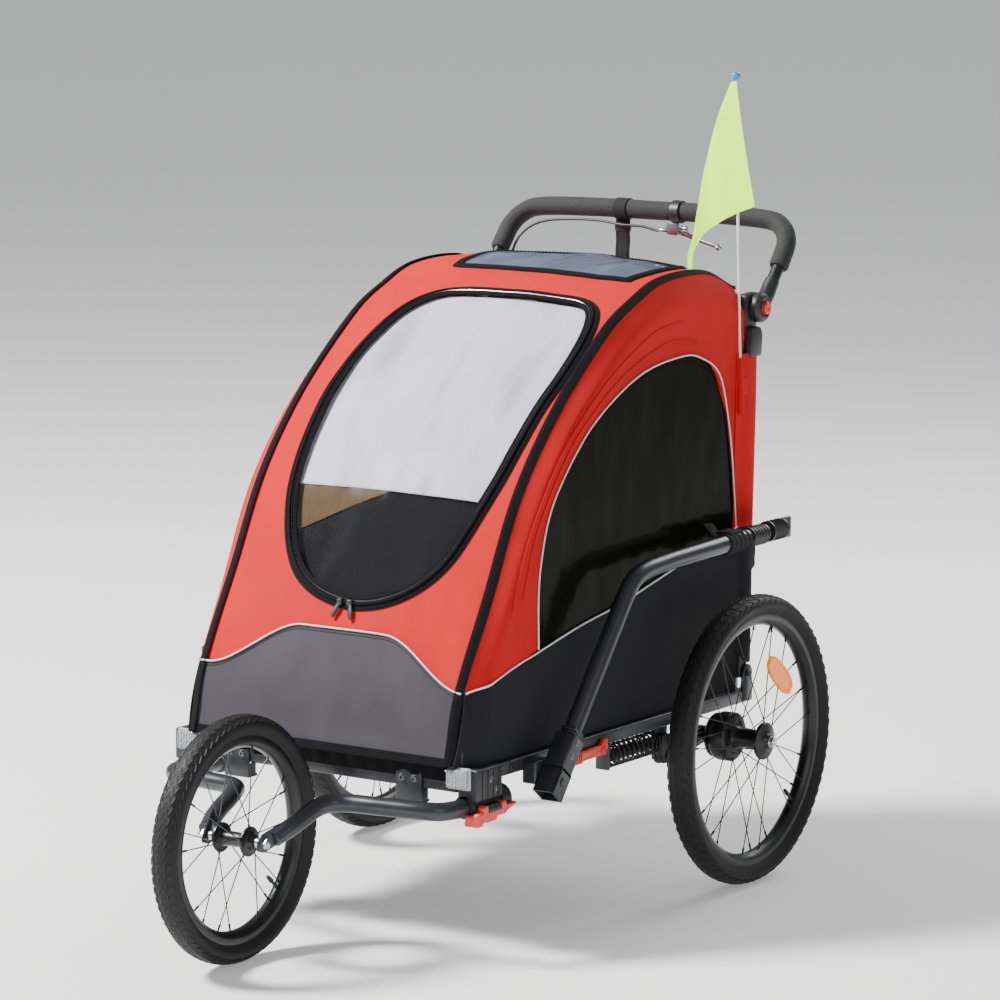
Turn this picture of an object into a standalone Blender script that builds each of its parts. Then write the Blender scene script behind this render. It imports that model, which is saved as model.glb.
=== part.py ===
"""Child bicycle trailer that doubles as a jogger: a folding two-hoop cabin on a tube chassis,
with two sprung rear wheels, a plug-in front wheel and a stowed tow arm.
Metres, +Z up, front towards -Y, the trailer's left side at +X. Positions are written from a
point on the ground under the rear axle; one parent empty then centres the whole trailer."""
import math

import bmesh
import bpy
from mathutils import Vector

# ---------------------------------------------------------------- driving dimensions
GAP = 0.0003                 # between pieces that touch
TURN_STEPS = 32
REAR_RADIUS = 0.250
FRONT_RADIUS = 0.200
TYRE_WIDTH = 0.045
TYRE_DEPTH = 0.037
RIM_DEPTH = 0.017
RIM_WIDTH = 0.028
HALF_TRACK = 0.384
WHEELBASE = 0.948
SPOKES = 16
SPOKE_RADIUS = 0.0012
AXLE_RADIUS = 0.005
AXLE_CLEARANCE = 0.0005
REFLECTOR_PLACE = (0.098, 0.352)
REFLECTOR_LEAN = math.radians(-60)

RAIL_X = 0.285               # centre of a side rail
RAIL_WIDTH = 0.022
RAIL_TOP = 0.305
RAIL_HEIGHT = 0.022
RAIL_FRONT = -0.640
RAIL_REAR = 0.160
CROSSBAR_FRONT = -0.712      # front face of the front crossbar
CROSSBAR_DEPTH = 0.024
BRACKET_INSIDE = 0.260
BRACKET_OUTSIDE = 0.300

RECEIVER_X = 0.272           # sockets that take the fork
RECEIVER_Z = 0.243
RECEIVER_RADIUS = 0.0195
RECEIVER_REAR = -0.600
FORK_RADIUS = 0.014
FORK_CLEARANCE = 0.0008
FORK_INSERTION = 0.080
FORK_HALF_GAP = 0.050        # inner faces of the two dropouts

ARM_PIVOT_Y = -0.125         # suspension arm
ARM_PIVOT_Z = 0.232
ARM_INSIDE = 0.2835
ARM_WIDTH = 0.0135
HANGER_HALF = 0.020
DRUM_RADIUS = 0.042
HUB_INSIDE = HALF_TRACK - 0.0625
HUB_OUTSIDE = HALF_TRACK + 0.040
SPRING_RADIUS = 0.0200
SPRING_WIRE = 0.0022
SPRING_TURNS = 6
SPRING_FRONT = -0.305
SPRING_Z = 0.2575

HOOP_X = 0.250
HOOP_RADIUS = 0.011
HOOP_EAR_X = HOOP_X + HOOP_RADIUS + 0.0015
HOOP_EAR_THICKNESS = 0.006
HOOP_PIVOT = (-0.700, 0.325)
COVER_HALF_WIDTH = 0.260
COVER_THICKNESS = 0.003
COVER_CROWN = 0.018
# side view of the cover's outer edge, from the front sill over the roof to the rear edge
COVER_PROFILE = [(-0.720, 0.330), (-0.695, 0.420), (-0.614, 0.565), (-0.533, 0.715), (-0.422, 0.842),
                 (-0.277, 0.957), (-0.187, 1.002), (-0.097, 1.031), (0.039, 1.034), (0.138, 1.001)]

WINDOW_FOOT = (-0.660, 0.525)        # start and end of the window's chord, side view
WINDOW_HEAD = (-0.210, 1.005)
WINDOW_SHIFT = 0.020
# half of the window: distance from its middle, distance up the chord
WINDOW_HALF = [(0.000, 0.014), (0.060, 0.020), (0.105, 0.050), (0.145, 0.095), (0.174, 0.160),
               (0.193, 0.235), (0.205, 0.320), (0.209, 0.430), (0.202, 0.520), (0.187, 0.580),
               (0.155, 0.625), (0.110, 0.643), (0.000, 0.646)]
FLAP_SCALE = 0.982
FLAP_HINGE = (-0.222, 1.008)

REAR_PIVOT = (0.140, 0.335)
UPRIGHT_X = 0.280
UPRIGHT_RADIUS = 0.011
UPRIGHT_TOP = (0.150, 0.936)
BACKREST_BAR_Z = 0.600
HANDLE_PIVOT = (0.166, 0.968)
HANDLE_DISC = 0.026
HANDLE_INSIDE = 0.2685
HANDLE_SPLIT = 0.2858        # plane between the fixed and the turning half of a handle joint
HANDLE_OUTSIDE = 0.3040
BAR_X = 0.288
BAR_RADIUS = 0.011
BAR_TOP = (0.295, 1.112)
FOAM_RADIUS = 0.017
FOAM_CLEARANCE = 0.0012
BAND_CLEARANCE = 0.0015
BUTTON_RADIUS = 0.0105
BUTTON_POCKET = 0.006
BUTTON_TRAVEL = 0.003
CLAMP_X = 0.050

PANEL_X = 0.2825             # side fabric
PANEL_THICKNESS = 0.004
PANEL_BOTTOM = RAIL_TOP + 0.0005
PANEL_REAR = 0.118
FLOOR_TOP = 0.297

TOW_SIDE = 1                 # the arm is stowed on the left
TOW_X = 0.340
TOW_RADIUS = 0.014
TOW_PIVOT = (-0.555, 0.268)
TOW_SOCKET = 0.034
COUPLER_START = 0.120
COUPLER_LENGTH = 0.080
COUPLER_SWING_GAP = 0.010
COUPLER_Z = 0.588

POLE_RADIUS = 0.0025
POLE_FOOT = (0.2905, 0.110, 0.800)
POLE_HEAD = (0.2700, 0.110, 1.362)
BALL_RADIUS = 0.0085

FRONT_END = -(WHEELBASE + FRONT_RADIUS)
REAR_END = BAR_TOP[0] + FOAM_RADIUS
CENTRE_Y = -(FRONT_END + REAR_END) / 2

# ---------------------------------------------------------------- scene and materials
for old in list(bpy.data.objects):
    bpy.data.objects.remove(old, do_unlink=True)
PARTS = bpy.data.collections.new("child_bicycle_trailer")
CUTTERS = bpy.data.collections.new("cutters")
bpy.context.scene.collection.children.link(PARTS)
bpy.context.scene.collection.children.link(CUTTERS)


def material(name, colour, roughness, metallic=0.0):
    """One Principled material."""
    made = bpy.data.materials.new(name)
    made.use_nodes = True
    shader = made.node_tree.nodes["Principled BSDF"]
    shader.inputs["Base Color"].default_value = (*colour, 1.0)
    shader.inputs["Roughness"].default_value = roughness
    shader.inputs["Metallic"].default_value = metallic
    return made


FRAME_PAINT = ((0.055, 0.06, 0.07), 0.42, 0.6)
BLACK_PLASTIC = ((0.015, 0.015, 0.016), 0.45)
RED_PLASTIC = ((0.62, 0.03, 0.025), 0.4)
RED_FABRIC = ((0.72, 0.06, 0.05), 0.85)
DARK_FABRIC = ((0.10, 0.095, 0.11), 0.9)
TYRE_RUBBER = ((0.02, 0.02, 0.02), 0.85)
BLACK_ALLOY = ((0.02, 0.02, 0.022), 0.35, 0.8)
STEEL = ((0.62, 0.62, 0.64), 0.3, 1.0)
FOAM = ((0.05, 0.05, 0.055), 0.95)
WEBBING = ((0.02, 0.02, 0.022), 0.9)


# ---------------------------------------------------------------- modelling helpers
def obj_from(name, bm, at=(0, 0, 0)):
    """A named object from a bmesh."""
    mesh = bpy.data.meshes.new(name)
    bm.to_mesh(mesh)
    bm.free()
    made = bpy.data.objects.new(name, mesh)
    made.location = at
    PARTS.objects.link(made)
    return made


def solid(made):
    """The object as a plain welded mesh, with its modifiers applied and faces pointing out."""
    bpy.context.view_layer.update()
    shaped = made.evaluated_get(bpy.context.evaluated_depsgraph_get())
    mesh = bpy.data.meshes.new_from_object(shaped)
    bm = bmesh.new()
    bm.from_mesh(mesh)
    bmesh.ops.remove_doubles(bm, verts=bm.verts, dist=0.00001)
    bmesh.ops.recalc_face_normals(bm, faces=bm.faces)
    bm.to_mesh(mesh)
    bm.free()
    result = bpy.data.objects.new(made.name + "_mesh", mesh)
    result.matrix_world = made.matrix_world
    PARTS.objects.link(result)
    name = made.name
    bpy.data.objects.remove(made, do_unlink=True)
    result.name = name
    return result


def box(name, low, high, bevel=0.0):
    """A box between two corners, with its edges rounded by a bevel."""
    low, high = Vector(low), Vector(high)
    bm = bmesh.new()
    bmesh.ops.create_cube(bm, size=1.0)
    bmesh.ops.scale(bm, vec=high - low, verts=bm.verts)
    made = obj_from(name, bm, (low + high) / 2)
    if bevel:
        rounding = made.modifiers.new("rounding", "BEVEL")
        rounding.width = bevel
        rounding.segments = 1
    return solid(made)


def rod(name, radius, start, end, sides=12):
    """A round bar between two points."""
    start, end = Vector(start), Vector(end)
    bm = bmesh.new()
    bmesh.ops.create_cone(bm, cap_ends=True, segments=sides, radius1=radius, radius2=radius,
                          depth=(end - start).length)
    made = obj_from(name, bm, (start + end) / 2)
    made.rotation_euler = (end - start).to_track_quat("Z", "Y").to_euler()
    return made


def ball(name, radius, at, sides=10):
    """A sphere."""
    bm = bmesh.new()
    bmesh.ops.create_uvsphere(bm, u_segments=sides, v_segments=sides // 2 + 1, radius=radius)
    return obj_from(name, bm, at)


def smooth(points, steps):
    """Points on a smooth curve through the given points, with steps of them to each span."""
    pts = [Vector(p) for p in points]
    ends = [2 * pts[0] - pts[1]] + pts + [2 * pts[-1] - pts[-2]]
    path = []
    for a, b, c, d in zip(ends, ends[1:], ends[2:], ends[3:]):
        for step in range(steps):
            t = step / steps
            path.append(0.5 * (2 * b + (c - a) * t + (2 * a - 5 * b + 4 * c - d) * t * t
                               + (3 * b - a - 3 * c + d) * t * t * t))
    return path + [pts[-1]]


def tube(name, radius, path, resolution=2):
    """A round tube along a path of points."""
    curve = bpy.data.curves.new(name, "CURVE")
    curve.dimensions = "3D"
    curve.bevel_depth = radius
    curve.bevel_resolution = resolution
    curve.use_fill_caps = True
    line = curve.splines.new("POLY")
    line.points.add(len(path) - 1)
    for point, place in zip(line.points, path):
        point.co = (*place, 1.0)
    made = bpy.data.objects.new(name, curve)
    PARTS.objects.link(made)
    return solid(made)


def slab(name, outline, thickness, at_x=0.0):
    """A flat outline in the side view (Y, Z), with its thickness along X."""
    curve = bpy.data.curves.new(name, "CURVE")
    curve.dimensions = "2D"
    curve.fill_mode = "BOTH"
    curve.extrude = thickness / 2
    line = curve.splines.new("POLY")
    line.points.add(len(outline) - 1)
    for point, (a, b) in zip(line.points, outline):
        point.co = (a, b, 0.0, 1.0)
    line.use_cyclic_u = True
    made = bpy.data.objects.new(name, curve)
    made.rotation_euler = (math.pi / 2, 0.0, math.pi / 2)
    made.location = (at_x, 0.0, 0.0)
    PARTS.objects.link(made)
    return solid(made)


def turned(name, profile, at, steps=TURN_STEPS):
    """A closed profile of (radius, place along X) turned about the X axis through a point."""
    bm = bmesh.new()
    ring = [bm.verts.new((radius, 0.0, along)) for radius, along in profile]
    for a, b in zip(ring, ring[1:] + ring[:1]):
        bm.edges.new((a, b))
    made = obj_from(name, bm, at)
    made.rotation_euler = (0.0, math.pi / 2, 0.0)
    turn = made.modifiers.new("turn", "SCREW")
    turn.axis = "Z"
    turn.steps = steps
    turn.render_steps = steps
    turn.use_merge_vertices = True
    turn.merge_threshold = 0.0001
    return solid(made)


def combine(base, others, operation):
    """Join others to the base, or cut them out of it, and leave one plain mesh."""
    for other in others:
        join = base.modifiers.new("join", "BOOLEAN")
        join.operation = operation
        join.object = other
        join.solver = "EXACT"
    result = solid(base)
    for other in others:
        bpy.data.objects.remove(other, do_unlink=True)
    return result


def joined(base, *others):
    return combine(base, others, "UNION")


def cut(base, *others):
    return combine(base, others, "DIFFERENCE")


def mirrored(points, side):
    """Points with their X taken to the given side."""
    return [(side * p[0], *p[1:]) for p in points]


def span(side, a, b):
    """Two X values on one side, in rising order."""
    return (a, b) if side > 0 else (-b, -a)


def side_box(name, side, xs, ys, zs, bevel=0.0):
    """A box on the left (side 1) or right (side -1), from its X, Y and Z ranges."""
    low, high = span(side, *xs)
    return box(name, (low, ys[0], zs[0]), (high, ys[1], zs[1]), bevel)


def side_rod(name, side, radius, xs, y, z, sides=12):
    """A round bar along X on one side."""
    low, high = span(side, *xs)
    return rod(name, radius, (low, y, z), (high, y, z), sides)


# ---------------------------------------------------------------- bodies
TRAILER = bpy.data.objects.new("trailer", None)
TRAILER.location = (0.0, CENTRE_Y, 0.0)
PARTS.objects.link(TRAILER)


def pivot(name, place, parent=None):
    """An empty on a joint's axis; its children move with it."""
    made = bpy.data.objects.new(name, None)
    made["place"] = list(place)
    base = Vector(parent["place"]) if parent else Vector((0, 0, 0))
    made.location = Vector(place) - base
    made.parent = parent or TRAILER
    PARTS.objects.link(made)
    return made


def finish(made, body, look):
    """Give a finished piece its material, hang it on its body and shade it."""
    made.data.materials.clear()
    made.data.materials.append(material(made.name, *look))
    made.location = made.location - (Vector(body["place"]) if body else Vector((0, 0, 0)))
    made.parent = body or TRAILER
    made.data.shade_smooth()
    made.data.set_sharp_from_angle(angle=math.radians(35))
    return made


def side_name(side):
    return "left" if side > 0 else "right"


# ---------------------------------------------------------------- wheels
def tyre_profile(radius):
    """Cross-section of a tyre: a round crown on a narrower bead."""
    half = TYRE_WIDTH / 2
    bead = radius - TYRE_DEPTH
    crown = radius - half
    arc = [(crown + half * math.cos(t), half * math.sin(t))
           for t in [math.radians(a) for a in (90, 54, 18, -18, -54, -90)]]
    arc.insert(3, (radius, 0.0))
    return arc + [(bead, -RIM_WIDTH / 2), (bead, RIM_WIDTH / 2)]


def rim_profile(radius):
    """Cross-section of a rim: a box section with a narrower inner edge."""
    outer = radius - TYRE_DEPTH - GAP
    inner = outer - RIM_DEPTH
    half = RIM_WIDTH / 2 - 0.001
    return [(outer, half), (outer, -half), (outer - 0.006, -half), (inner, -half * 0.5),
            (inner, half * 0.5), (outer - 0.006, half)]


def spokes(name, radius, centre, flange_in, flange_out, flange_radius):
    """Spokes from two hub flanges to just short of the rim, each leaning round its flange."""
    rim_inside = (radius - TYRE_DEPTH - GAP - RIM_DEPTH) * math.cos(math.pi / TURN_STEPS)
    reach = rim_inside - SPOKE_RADIUS - GAP
    made = []
    for index in range(SPOKES):
        angle = 2 * math.pi * (index + 0.5) / SPOKES
        lean = math.radians(24) * (1 if index % 4 < 2 else -1)
        x = flange_out if index % 2 else flange_in
        start = (x, centre[1] + flange_radius * math.cos(angle + lean),
                 centre[2] + flange_radius * math.sin(angle + lean))
        tip = (centre[0], centre[1] + reach * math.cos(angle), centre[2] + reach * math.sin(angle))
        made.append(rod(f"{name}_spoke_{index}", SPOKE_RADIUS, start, tip, 3))
    return made


def wheel(name, body, radius, centre, hub_profile, flanges, flange_radius):
    """A tyre, a rim and a hub with its spokes."""
    at = Vector(centre)
    finish(turned(f"{name}_tyre", tyre_profile(radius), at), body, TYRE_RUBBER)
    finish(turned(f"{name}_rim", rim_profile(radius), at), body, BLACK_ALLOY)
    shell = turned(f"{name}_hub", hub_profile, (0.0, centre[1], centre[2]), 16)
    wires = spokes(name, radius, centre, flanges[0], flanges[1], flange_radius)
    finish(joined(shell, *wires), body, BLACK_ALLOY)


front_body = pivot("front_wheel", (0.0, -WHEELBASE, FRONT_RADIUS))
bore = AXLE_RADIUS + AXLE_CLEARANCE
front_hub = [(bore, 0.040), (0.012, 0.040), (0.012, 0.030), (0.024, 0.029), (0.024, 0.025),
             (0.013, 0.022), (0.013, -0.022), (0.024, -0.025), (0.024, -0.029), (0.012, -0.030),
             (0.012, -0.040), (bore, -0.040)]
wheel("front", front_body, FRONT_RADIUS, (0.0, -WHEELBASE, FRONT_RADIUS), front_hub,
      (-0.0270, 0.0270), 0.0190)

arms = {}
for side in (1, -1):
    label = side_name(side)
    arms[side] = pivot(f"swing_arm_{label}_pivot", (side * ARM_INSIDE, ARM_PIVOT_Y, ARM_PIVOT_Z))
    body = pivot(f"{label}_wheel", (side * HALF_TRACK, 0.0, REAR_RADIUS), arms[side])
    near, far = HUB_INSIDE, HUB_OUTSIDE
    half_hub = [(bore, near), (0.038, near), (0.042, near + 0.008), (0.042, near + 0.030),
                (0.020, near + 0.034), (0.018, far - 0.022), (0.032, far - 0.016),
                (0.032, far - 0.010), (0.014, far - 0.006), (0.010, far), (bore, far)]
    wheel(label, body, REAR_RADIUS, (side * HALF_TRACK, 0.0, REAR_RADIUS),
          [(r, side * along) for r, along in half_hub],
          (side * (near + 0.026), side * (far - 0.013)), 0.030)

    reflector = slab(f"{label}_wheel_reflector",
                     [(0.055 * math.cos(t), 0.018 * math.sin(t)) for t in
                      [2 * math.pi * i / 12 for i in range(12)]], 0.006)
    reflector.rotation_euler.rotate_axis("Z", REFLECTOR_LEAN)
    reflector.location = (side * (HALF_TRACK + 0.0175), REFLECTOR_PLACE[0], REFLECTOR_PLACE[1])
    finish(reflector, body, ((0.9, 0.28, 0.02), 0.3))


# ---------------------------------------------------------------- chassis
def tow_bracket():
    """Bracket welded outside the left rail, and the tow arm's pivot pin."""
    start = RAIL_X + RAIL_WIDTH / 2
    plate = box("tow_bracket", (start - 0.004, TOW_PIVOT[0] - 0.022, 0.2622),
                (TOW_X - TOW_SOCKET / 2 - 0.0015, TOW_PIVOT[0] + 0.022, 0.300), 0.002)
    pin = rod("tow_pin", AXLE_RADIUS, (start + 0.004, *TOW_PIVOT),
              (TOW_X + TOW_SOCKET / 2 + 0.006, *TOW_PIVOT))
    return plate, pin


def rail(side):
    """Side rail with the hinge ears of the rear hoop, the arm hanger and the spring seat."""
    label = side_name(side)
    half = RAIL_WIDTH / 2
    low = RAIL_TOP - RAIL_HEIGHT
    bar = side_box(f"side_rail_{label}", side, (RAIL_X - half, RAIL_X + half),
                   (RAIL_FRONT, RAIL_REAR), (low, RAIL_TOP), 0.002)
    ear_y = (REAR_PIVOT[0] - 0.016, REAR_PIVOT[0] + 0.016)
    base = side_box("ear_base", side, (0.2635, RAIL_X + half + 0.001), ear_y,
                    (low + 0.002, RAIL_TOP - 0.001))
    inner = side_box("ear_inner", side, (0.2635, 0.2685), ear_y, (low + 0.003, REAR_PIVOT[1] + 0.013))
    outer = side_box("ear_outer", side, (0.2915, 0.2970), ear_y, (low + 0.003, REAR_PIVOT[1] + 0.013))
    hanger = side_box("hanger", side, (0.2745, ARM_INSIDE - 0.001), (ARM_PIVOT_Y - HANGER_HALF, ARM_PIVOT_Y + HANGER_HALF),
                      (ARM_PIVOT_Z - 0.016, low + 0.004))
    seat = side_box("spring_seat", side, (0.2760, 0.2840), (SPRING_FRONT - 0.010, SPRING_FRONT - 0.004),
                    (SPRING_Z - 0.018, low + 0.004))
    bar = joined(bar, base, inner, outer, hanger, seat)
    if side == TOW_SIDE:
        bar = joined(bar, *tow_bracket())
    holes = [side_rod("ear_hole", side, 0.0046, (0.255, 0.305), *REAR_PIVOT),
             side_rod("arm_hole", side, AXLE_RADIUS + AXLE_CLEARANCE, (0.268, 0.290),
                      ARM_PIVOT_Y, ARM_PIVOT_Z)]
    return cut(bar, *holes)


def corner_bracket(side):
    """Corner casting: rail end, crossbar end, fork socket and the ear of the front hoop."""
    label = side_name(side)
    body = side_box(f"corner_bracket_{label}", side, (BRACKET_INSIDE, BRACKET_OUTSIDE),
                    (CROSSBAR_FRONT, RAIL_FRONT - GAP), (RECEIVER_Z + 0.010, RAIL_TOP + 0.001), 0.003)
    ear = side_box("ear", side, (HOOP_EAR_X, HOOP_EAR_X + HOOP_EAR_THICKNESS),
                   (HOOP_PIVOT[0] - 0.011, HOOP_PIVOT[0] + 0.011),
                   (RAIL_TOP - 0.008, HOOP_PIVOT[1] + 0.012))
    socket = rod("socket", RECEIVER_RADIUS, (side * RECEIVER_X, CROSSBAR_FRONT, RECEIVER_Z),
                 (side * RECEIVER_X, RECEIVER_REAR, RECEIVER_Z), 16)
    body = joined(body, ear, socket)
    socket_bore = rod("socket_bore", FORK_RADIUS + FORK_CLEARANCE,
                      (side * RECEIVER_X, CROSSBAR_FRONT - 0.01, RECEIVER_Z),
                      (side * RECEIVER_X, RECEIVER_REAR + 0.01, RECEIVER_Z), 16)
    pin_hole = side_rod("pin_hole", side, 0.0046, (HOOP_X, HOOP_EAR_X + 0.015), *HOOP_PIVOT)
    return cut(body, socket_bore, pin_hole)


for side in (1, -1):
    finish(rail(side), None, FRAME_PAINT)
    finish(corner_bracket(side), None, BLACK_PLASTIC)

bar_back = CROSSBAR_FRONT + CROSSBAR_DEPTH
finish(box("front_crossbar", (-BRACKET_INSIDE + GAP, CROSSBAR_FRONT, 0.265),
           (BRACKET_INSIDE - GAP, bar_back, 0.292), 0.003), None, FRAME_PAINT)
finish(box("rear_crossbar", (-0.2632, REAR_PIVOT[0] - 0.011, 0.284),
           (0.2632, REAR_PIVOT[0] + 0.011, RAIL_TOP - 0.001), 0.002), None, FRAME_PAINT)
finish(box("floor_panel", (-0.255, bar_back + 0.003, FLOOR_TOP - 0.005),
           (0.255, REAR_PIVOT[0] - 0.012, FLOOR_TOP)), None, DARK_FABRIC)


def fork_hook(side):
    """Bolted hook plate on the front crossbar with two bolt heads and a lower lip."""
    face = CROSSBAR_FRONT - GAP
    plate = side_box(f"fork_hook_{side_name(side)}", side, (0.145, 0.195), (face - 0.004, face),
                     (0.240, 0.294), 0.001)
    lip = side_box("lip", side, (0.150, 0.190), (face - 0.003, face + 0.020), (0.2405, 0.2455))
    bolts = [rod("bolt", 0.0055, (side * x, face - 0.0085, 0.280), (side * x, face - 0.002, 0.280), 8)
             for x in (0.158, 0.182)]
    return joined(plate, lip, *bolts)


def fork_arm(side):
    """Fork tube from the axle, out along the crossbar and back into its socket."""
    bend = smooth(mirrored([(FORK_HALF_GAP + 0.018, -WHEELBASE + 0.012, FRONT_RADIUS + 0.006),
                            (0.077, -0.890, 0.226), (0.085, -0.840, 0.244), (0.108, -0.808, 0.247),
                            (0.170, -0.795, 0.247), (0.235, -0.781, 0.246), (0.262, -0.762, 0.244),
                            (RECEIVER_X, CROSSBAR_FRONT - 0.014, RECEIVER_Z)], side), 3)
    path = bend + [Vector((side * RECEIVER_X, CROSSBAR_FRONT + FORK_INSERTION, RECEIVER_Z))]
    arm = tube(f"fork_arm_{side_name(side)}", FORK_RADIUS, path)
    low, high = FORK_HALF_GAP, FORK_HALF_GAP + 0.006
    plate = side_box("dropout", side, (low, high), (-WHEELBASE - 0.014, -WHEELBASE + 0.030),
                     (FRONT_RADIUS - 0.013, FRONT_RADIUS + 0.017), 0.002)
    arm = joined(arm, plate)
    slot = side_rod("slot", side, AXLE_RADIUS + AXLE_CLEARANCE, (low - 0.01, high + 0.004),
                    -WHEELBASE, FRONT_RADIUS)
    return cut(arm, slot)


for side in (1, -1):
    label = side_name(side)
    finish(fork_hook(side), None, FRAME_PAINT)
    finish(fork_arm(side), None, FRAME_PAINT)
    face = CROSSBAR_FRONT - GAP
    finish(side_box(f"front_reflector_{label}", side, (0.244, 0.288), (face - 0.012, face),
                    (0.272, 0.308), 0.003), None, ((0.85, 0.87, 0.9), 0.12))

axle = rod("front_axle", AXLE_RADIUS, (-0.072, -WHEELBASE, FRONT_RADIUS),
           (0.066, -WHEELBASE, FRONT_RADIUS))
nut_start = FORK_HALF_GAP + 0.006 + GAP
nuts = [side_rod("nut", side, 0.0085, (nut_start, nut_start + 0.007), -WHEELBASE, FRONT_RADIUS, 6)
        for side in (1, -1)]
finish(joined(axle, *nuts), None, STEEL)


# ---------------------------------------------------------------- rear suspension
def swing_arm(side):
    """Arm with its pivot pin, spring seat, brake backplate and wheel axle."""
    xs = (ARM_INSIDE, ARM_INSIDE + ARM_WIDTH)
    outline = [(ARM_PIVOT_Y - 0.012, ARM_PIVOT_Z - 0.012), (ARM_PIVOT_Y + 0.02, ARM_PIVOT_Z - 0.015),
               (0.0, REAR_RADIUS - 0.014), (0.013, REAR_RADIUS - 0.007), (0.013, REAR_RADIUS + 0.007),
               (0.0, REAR_RADIUS + 0.012), (ARM_PIVOT_Y + 0.02, ARM_PIVOT_Z + 0.012),
               (ARM_PIVOT_Y + 0.004, ARM_PIVOT_Z + 0.038), (ARM_PIVOT_Y - 0.0205, ARM_PIVOT_Z + 0.038),
               (ARM_PIVOT_Y - 0.0205, ARM_PIVOT_Z + 0.004)]
    arm = slab(f"swing_arm_{side_name(side)}", outline, ARM_WIDTH, side * (ARM_INSIDE + ARM_WIDTH / 2))
    pin = side_rod("pin", side, AXLE_RADIUS, (0.270, xs[1]), ARM_PIVOT_Y, ARM_PIVOT_Z)
    spindle = side_rod("spindle", side, AXLE_RADIUS, (xs[0] + 0.002, HUB_OUTSIDE + 0.009), 0.0, REAR_RADIUS)
    boss = side_rod("boss", side, 0.0125, (xs[0] + 0.002, HUB_INSIDE - 0.006), 0.0, REAR_RADIUS)
    drum = side_rod("backplate", side, DRUM_RADIUS - 0.004, (HUB_INSIDE - 0.010, HUB_INSIDE - 0.0015),
                    0.0, REAR_RADIUS, 20)
    nut = side_rod("nut", side, 0.0085, (HUB_OUTSIDE + 0.0015, HUB_OUTSIDE + 0.008), 0.0, REAR_RADIUS, 6)
    return joined(arm, pin, spindle, boss, drum, nut)


def coil(side):
    """Compression spring along Y under the rail, with a flat centred wire end."""
    length = (ARM_PIVOT_Y - HANGER_HALF - 0.0032) - SPRING_FRONT
    count = SPRING_TURNS * 7
    path = []
    for index in range(count + 1):
        share = index / count
        angle = 2 * math.pi * SPRING_TURNS * share
        path.append((side * (RAIL_X - 0.003) + SPRING_RADIUS * math.cos(angle),
                     SPRING_FRONT + length * share, SPRING_Z + SPRING_RADIUS * math.sin(angle)))
    return tube(f"suspension_spring_{side_name(side)}", SPRING_WIRE, path, 1)


for side in (1, -1):
    finish(swing_arm(side), arms[side], BLACK_PLASTIC)
    finish(coil(side), None, ((0.06, 0.06, 0.065), 0.4, 0.7))


# ---------------------------------------------------------------- red locks
def fork_clip(side):
    """Sprung clip round the fork socket with a finger tab at its front."""
    inner, outer = RECEIVER_RADIUS + 0.0006, RECEIVER_RADIUS + 0.005
    ring = rod(f"fork_clip_{side_name(side)}", outer, (side * RECEIVER_X, -0.632, RECEIVER_Z),
               (side * RECEIVER_X, -0.606, RECEIVER_Z), 16)
    tab = side_box("tab", side, (0.2935, 0.3065), (CROSSBAR_FRONT - 0.008, -0.606),
                   (RECEIVER_Z - 0.018, RECEIVER_Z - 0.003), 0.002)
    foot = side_box("foot", side, (0.2800, 0.3060), (CROSSBAR_FRONT - 0.010, CROSSBAR_FRONT + 0.012),
                    (RECEIVER_Z - 0.028, RECEIVER_Z - 0.0215), 0.001)
    web = side_box("web", side, (0.2970, 0.3050), (CROSSBAR_FRONT - 0.006, CROSSBAR_FRONT + 0.010),
                   (RECEIVER_Z - 0.025, RECEIVER_Z - 0.010))
    opening = rod("clip_bore", inner, (side * RECEIVER_X, -0.650, RECEIVER_Z),
                  (side * RECEIVER_X, -0.590, RECEIVER_Z), 16)
    return cut(joined(ring, tab, foot, web), opening)


LOCK_PIVOT = (-0.345, 0.279)
lock_inside = RAIL_X + RAIL_WIDTH / 2 + 0.001
for side in (1, -1):
    label = side_name(side)
    clip_body = pivot(f"fork_clip_{label}_axis", (side * RECEIVER_X, -0.619, RECEIVER_Z))
    finish(fork_clip(side), clip_body, RED_PLASTIC)
    lock_body = pivot(f"lock_lever_{label}_axis", (side * lock_inside, *LOCK_PIVOT))
    lever = side_box(f"lock_lever_{label}", side, (lock_inside, lock_inside + 0.009),
                     (-0.440, LOCK_PIVOT[0] + 0.010), (LOCK_PIVOT[1] - 0.009, LOCK_PIVOT[1] + 0.009), 0.003)
    grip = side_box("grip", side, (lock_inside + 0.001, lock_inside + 0.014), (-0.442, -0.415),
                    (LOCK_PIVOT[1] - 0.012, LOCK_PIVOT[1] + 0.006), 0.002)
    finish(joined(lever, grip), lock_body, RED_PLASTIC)

# ---------------------------------------------------------------- rear frame
rear_body = pivot("rear_frame", (0.0, *REAR_PIVOT))
for side in (1, -1):
    label = side_name(side)
    foot = (side * UPRIGHT_X, REAR_PIVOT[0], REAR_PIVOT[1] - 0.010)
    head = (side * UPRIGHT_X, *UPRIGHT_TOP)
    upright = rod(f"rear_upright_{label}", UPRIGHT_RADIUS, foot, head, 16)
    hinge_pin = side_rod("hinge_pin", side, 0.0040, (0.262, 0.299), *REAR_PIVOT)
    finish(joined(upright, hinge_pin), rear_body, FRAME_PAINT)
    joint = side_rod(f"handle_joint_{label}", side, HANDLE_DISC, (HANDLE_INSIDE, HANDLE_SPLIT - GAP),
                     *HANDLE_PIVOT, 20)
    neck = side_box("neck", side, (HANDLE_INSIDE, HANDLE_SPLIT - 0.001),
                    (UPRIGHT_TOP[0] - 0.012, UPRIGHT_TOP[0] + 0.014),
                    (UPRIGHT_TOP[1] + GAP, HANDLE_PIVOT[1]), 0.001)
    finish(joined(joint, neck), rear_body, BLACK_PLASTIC)

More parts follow.
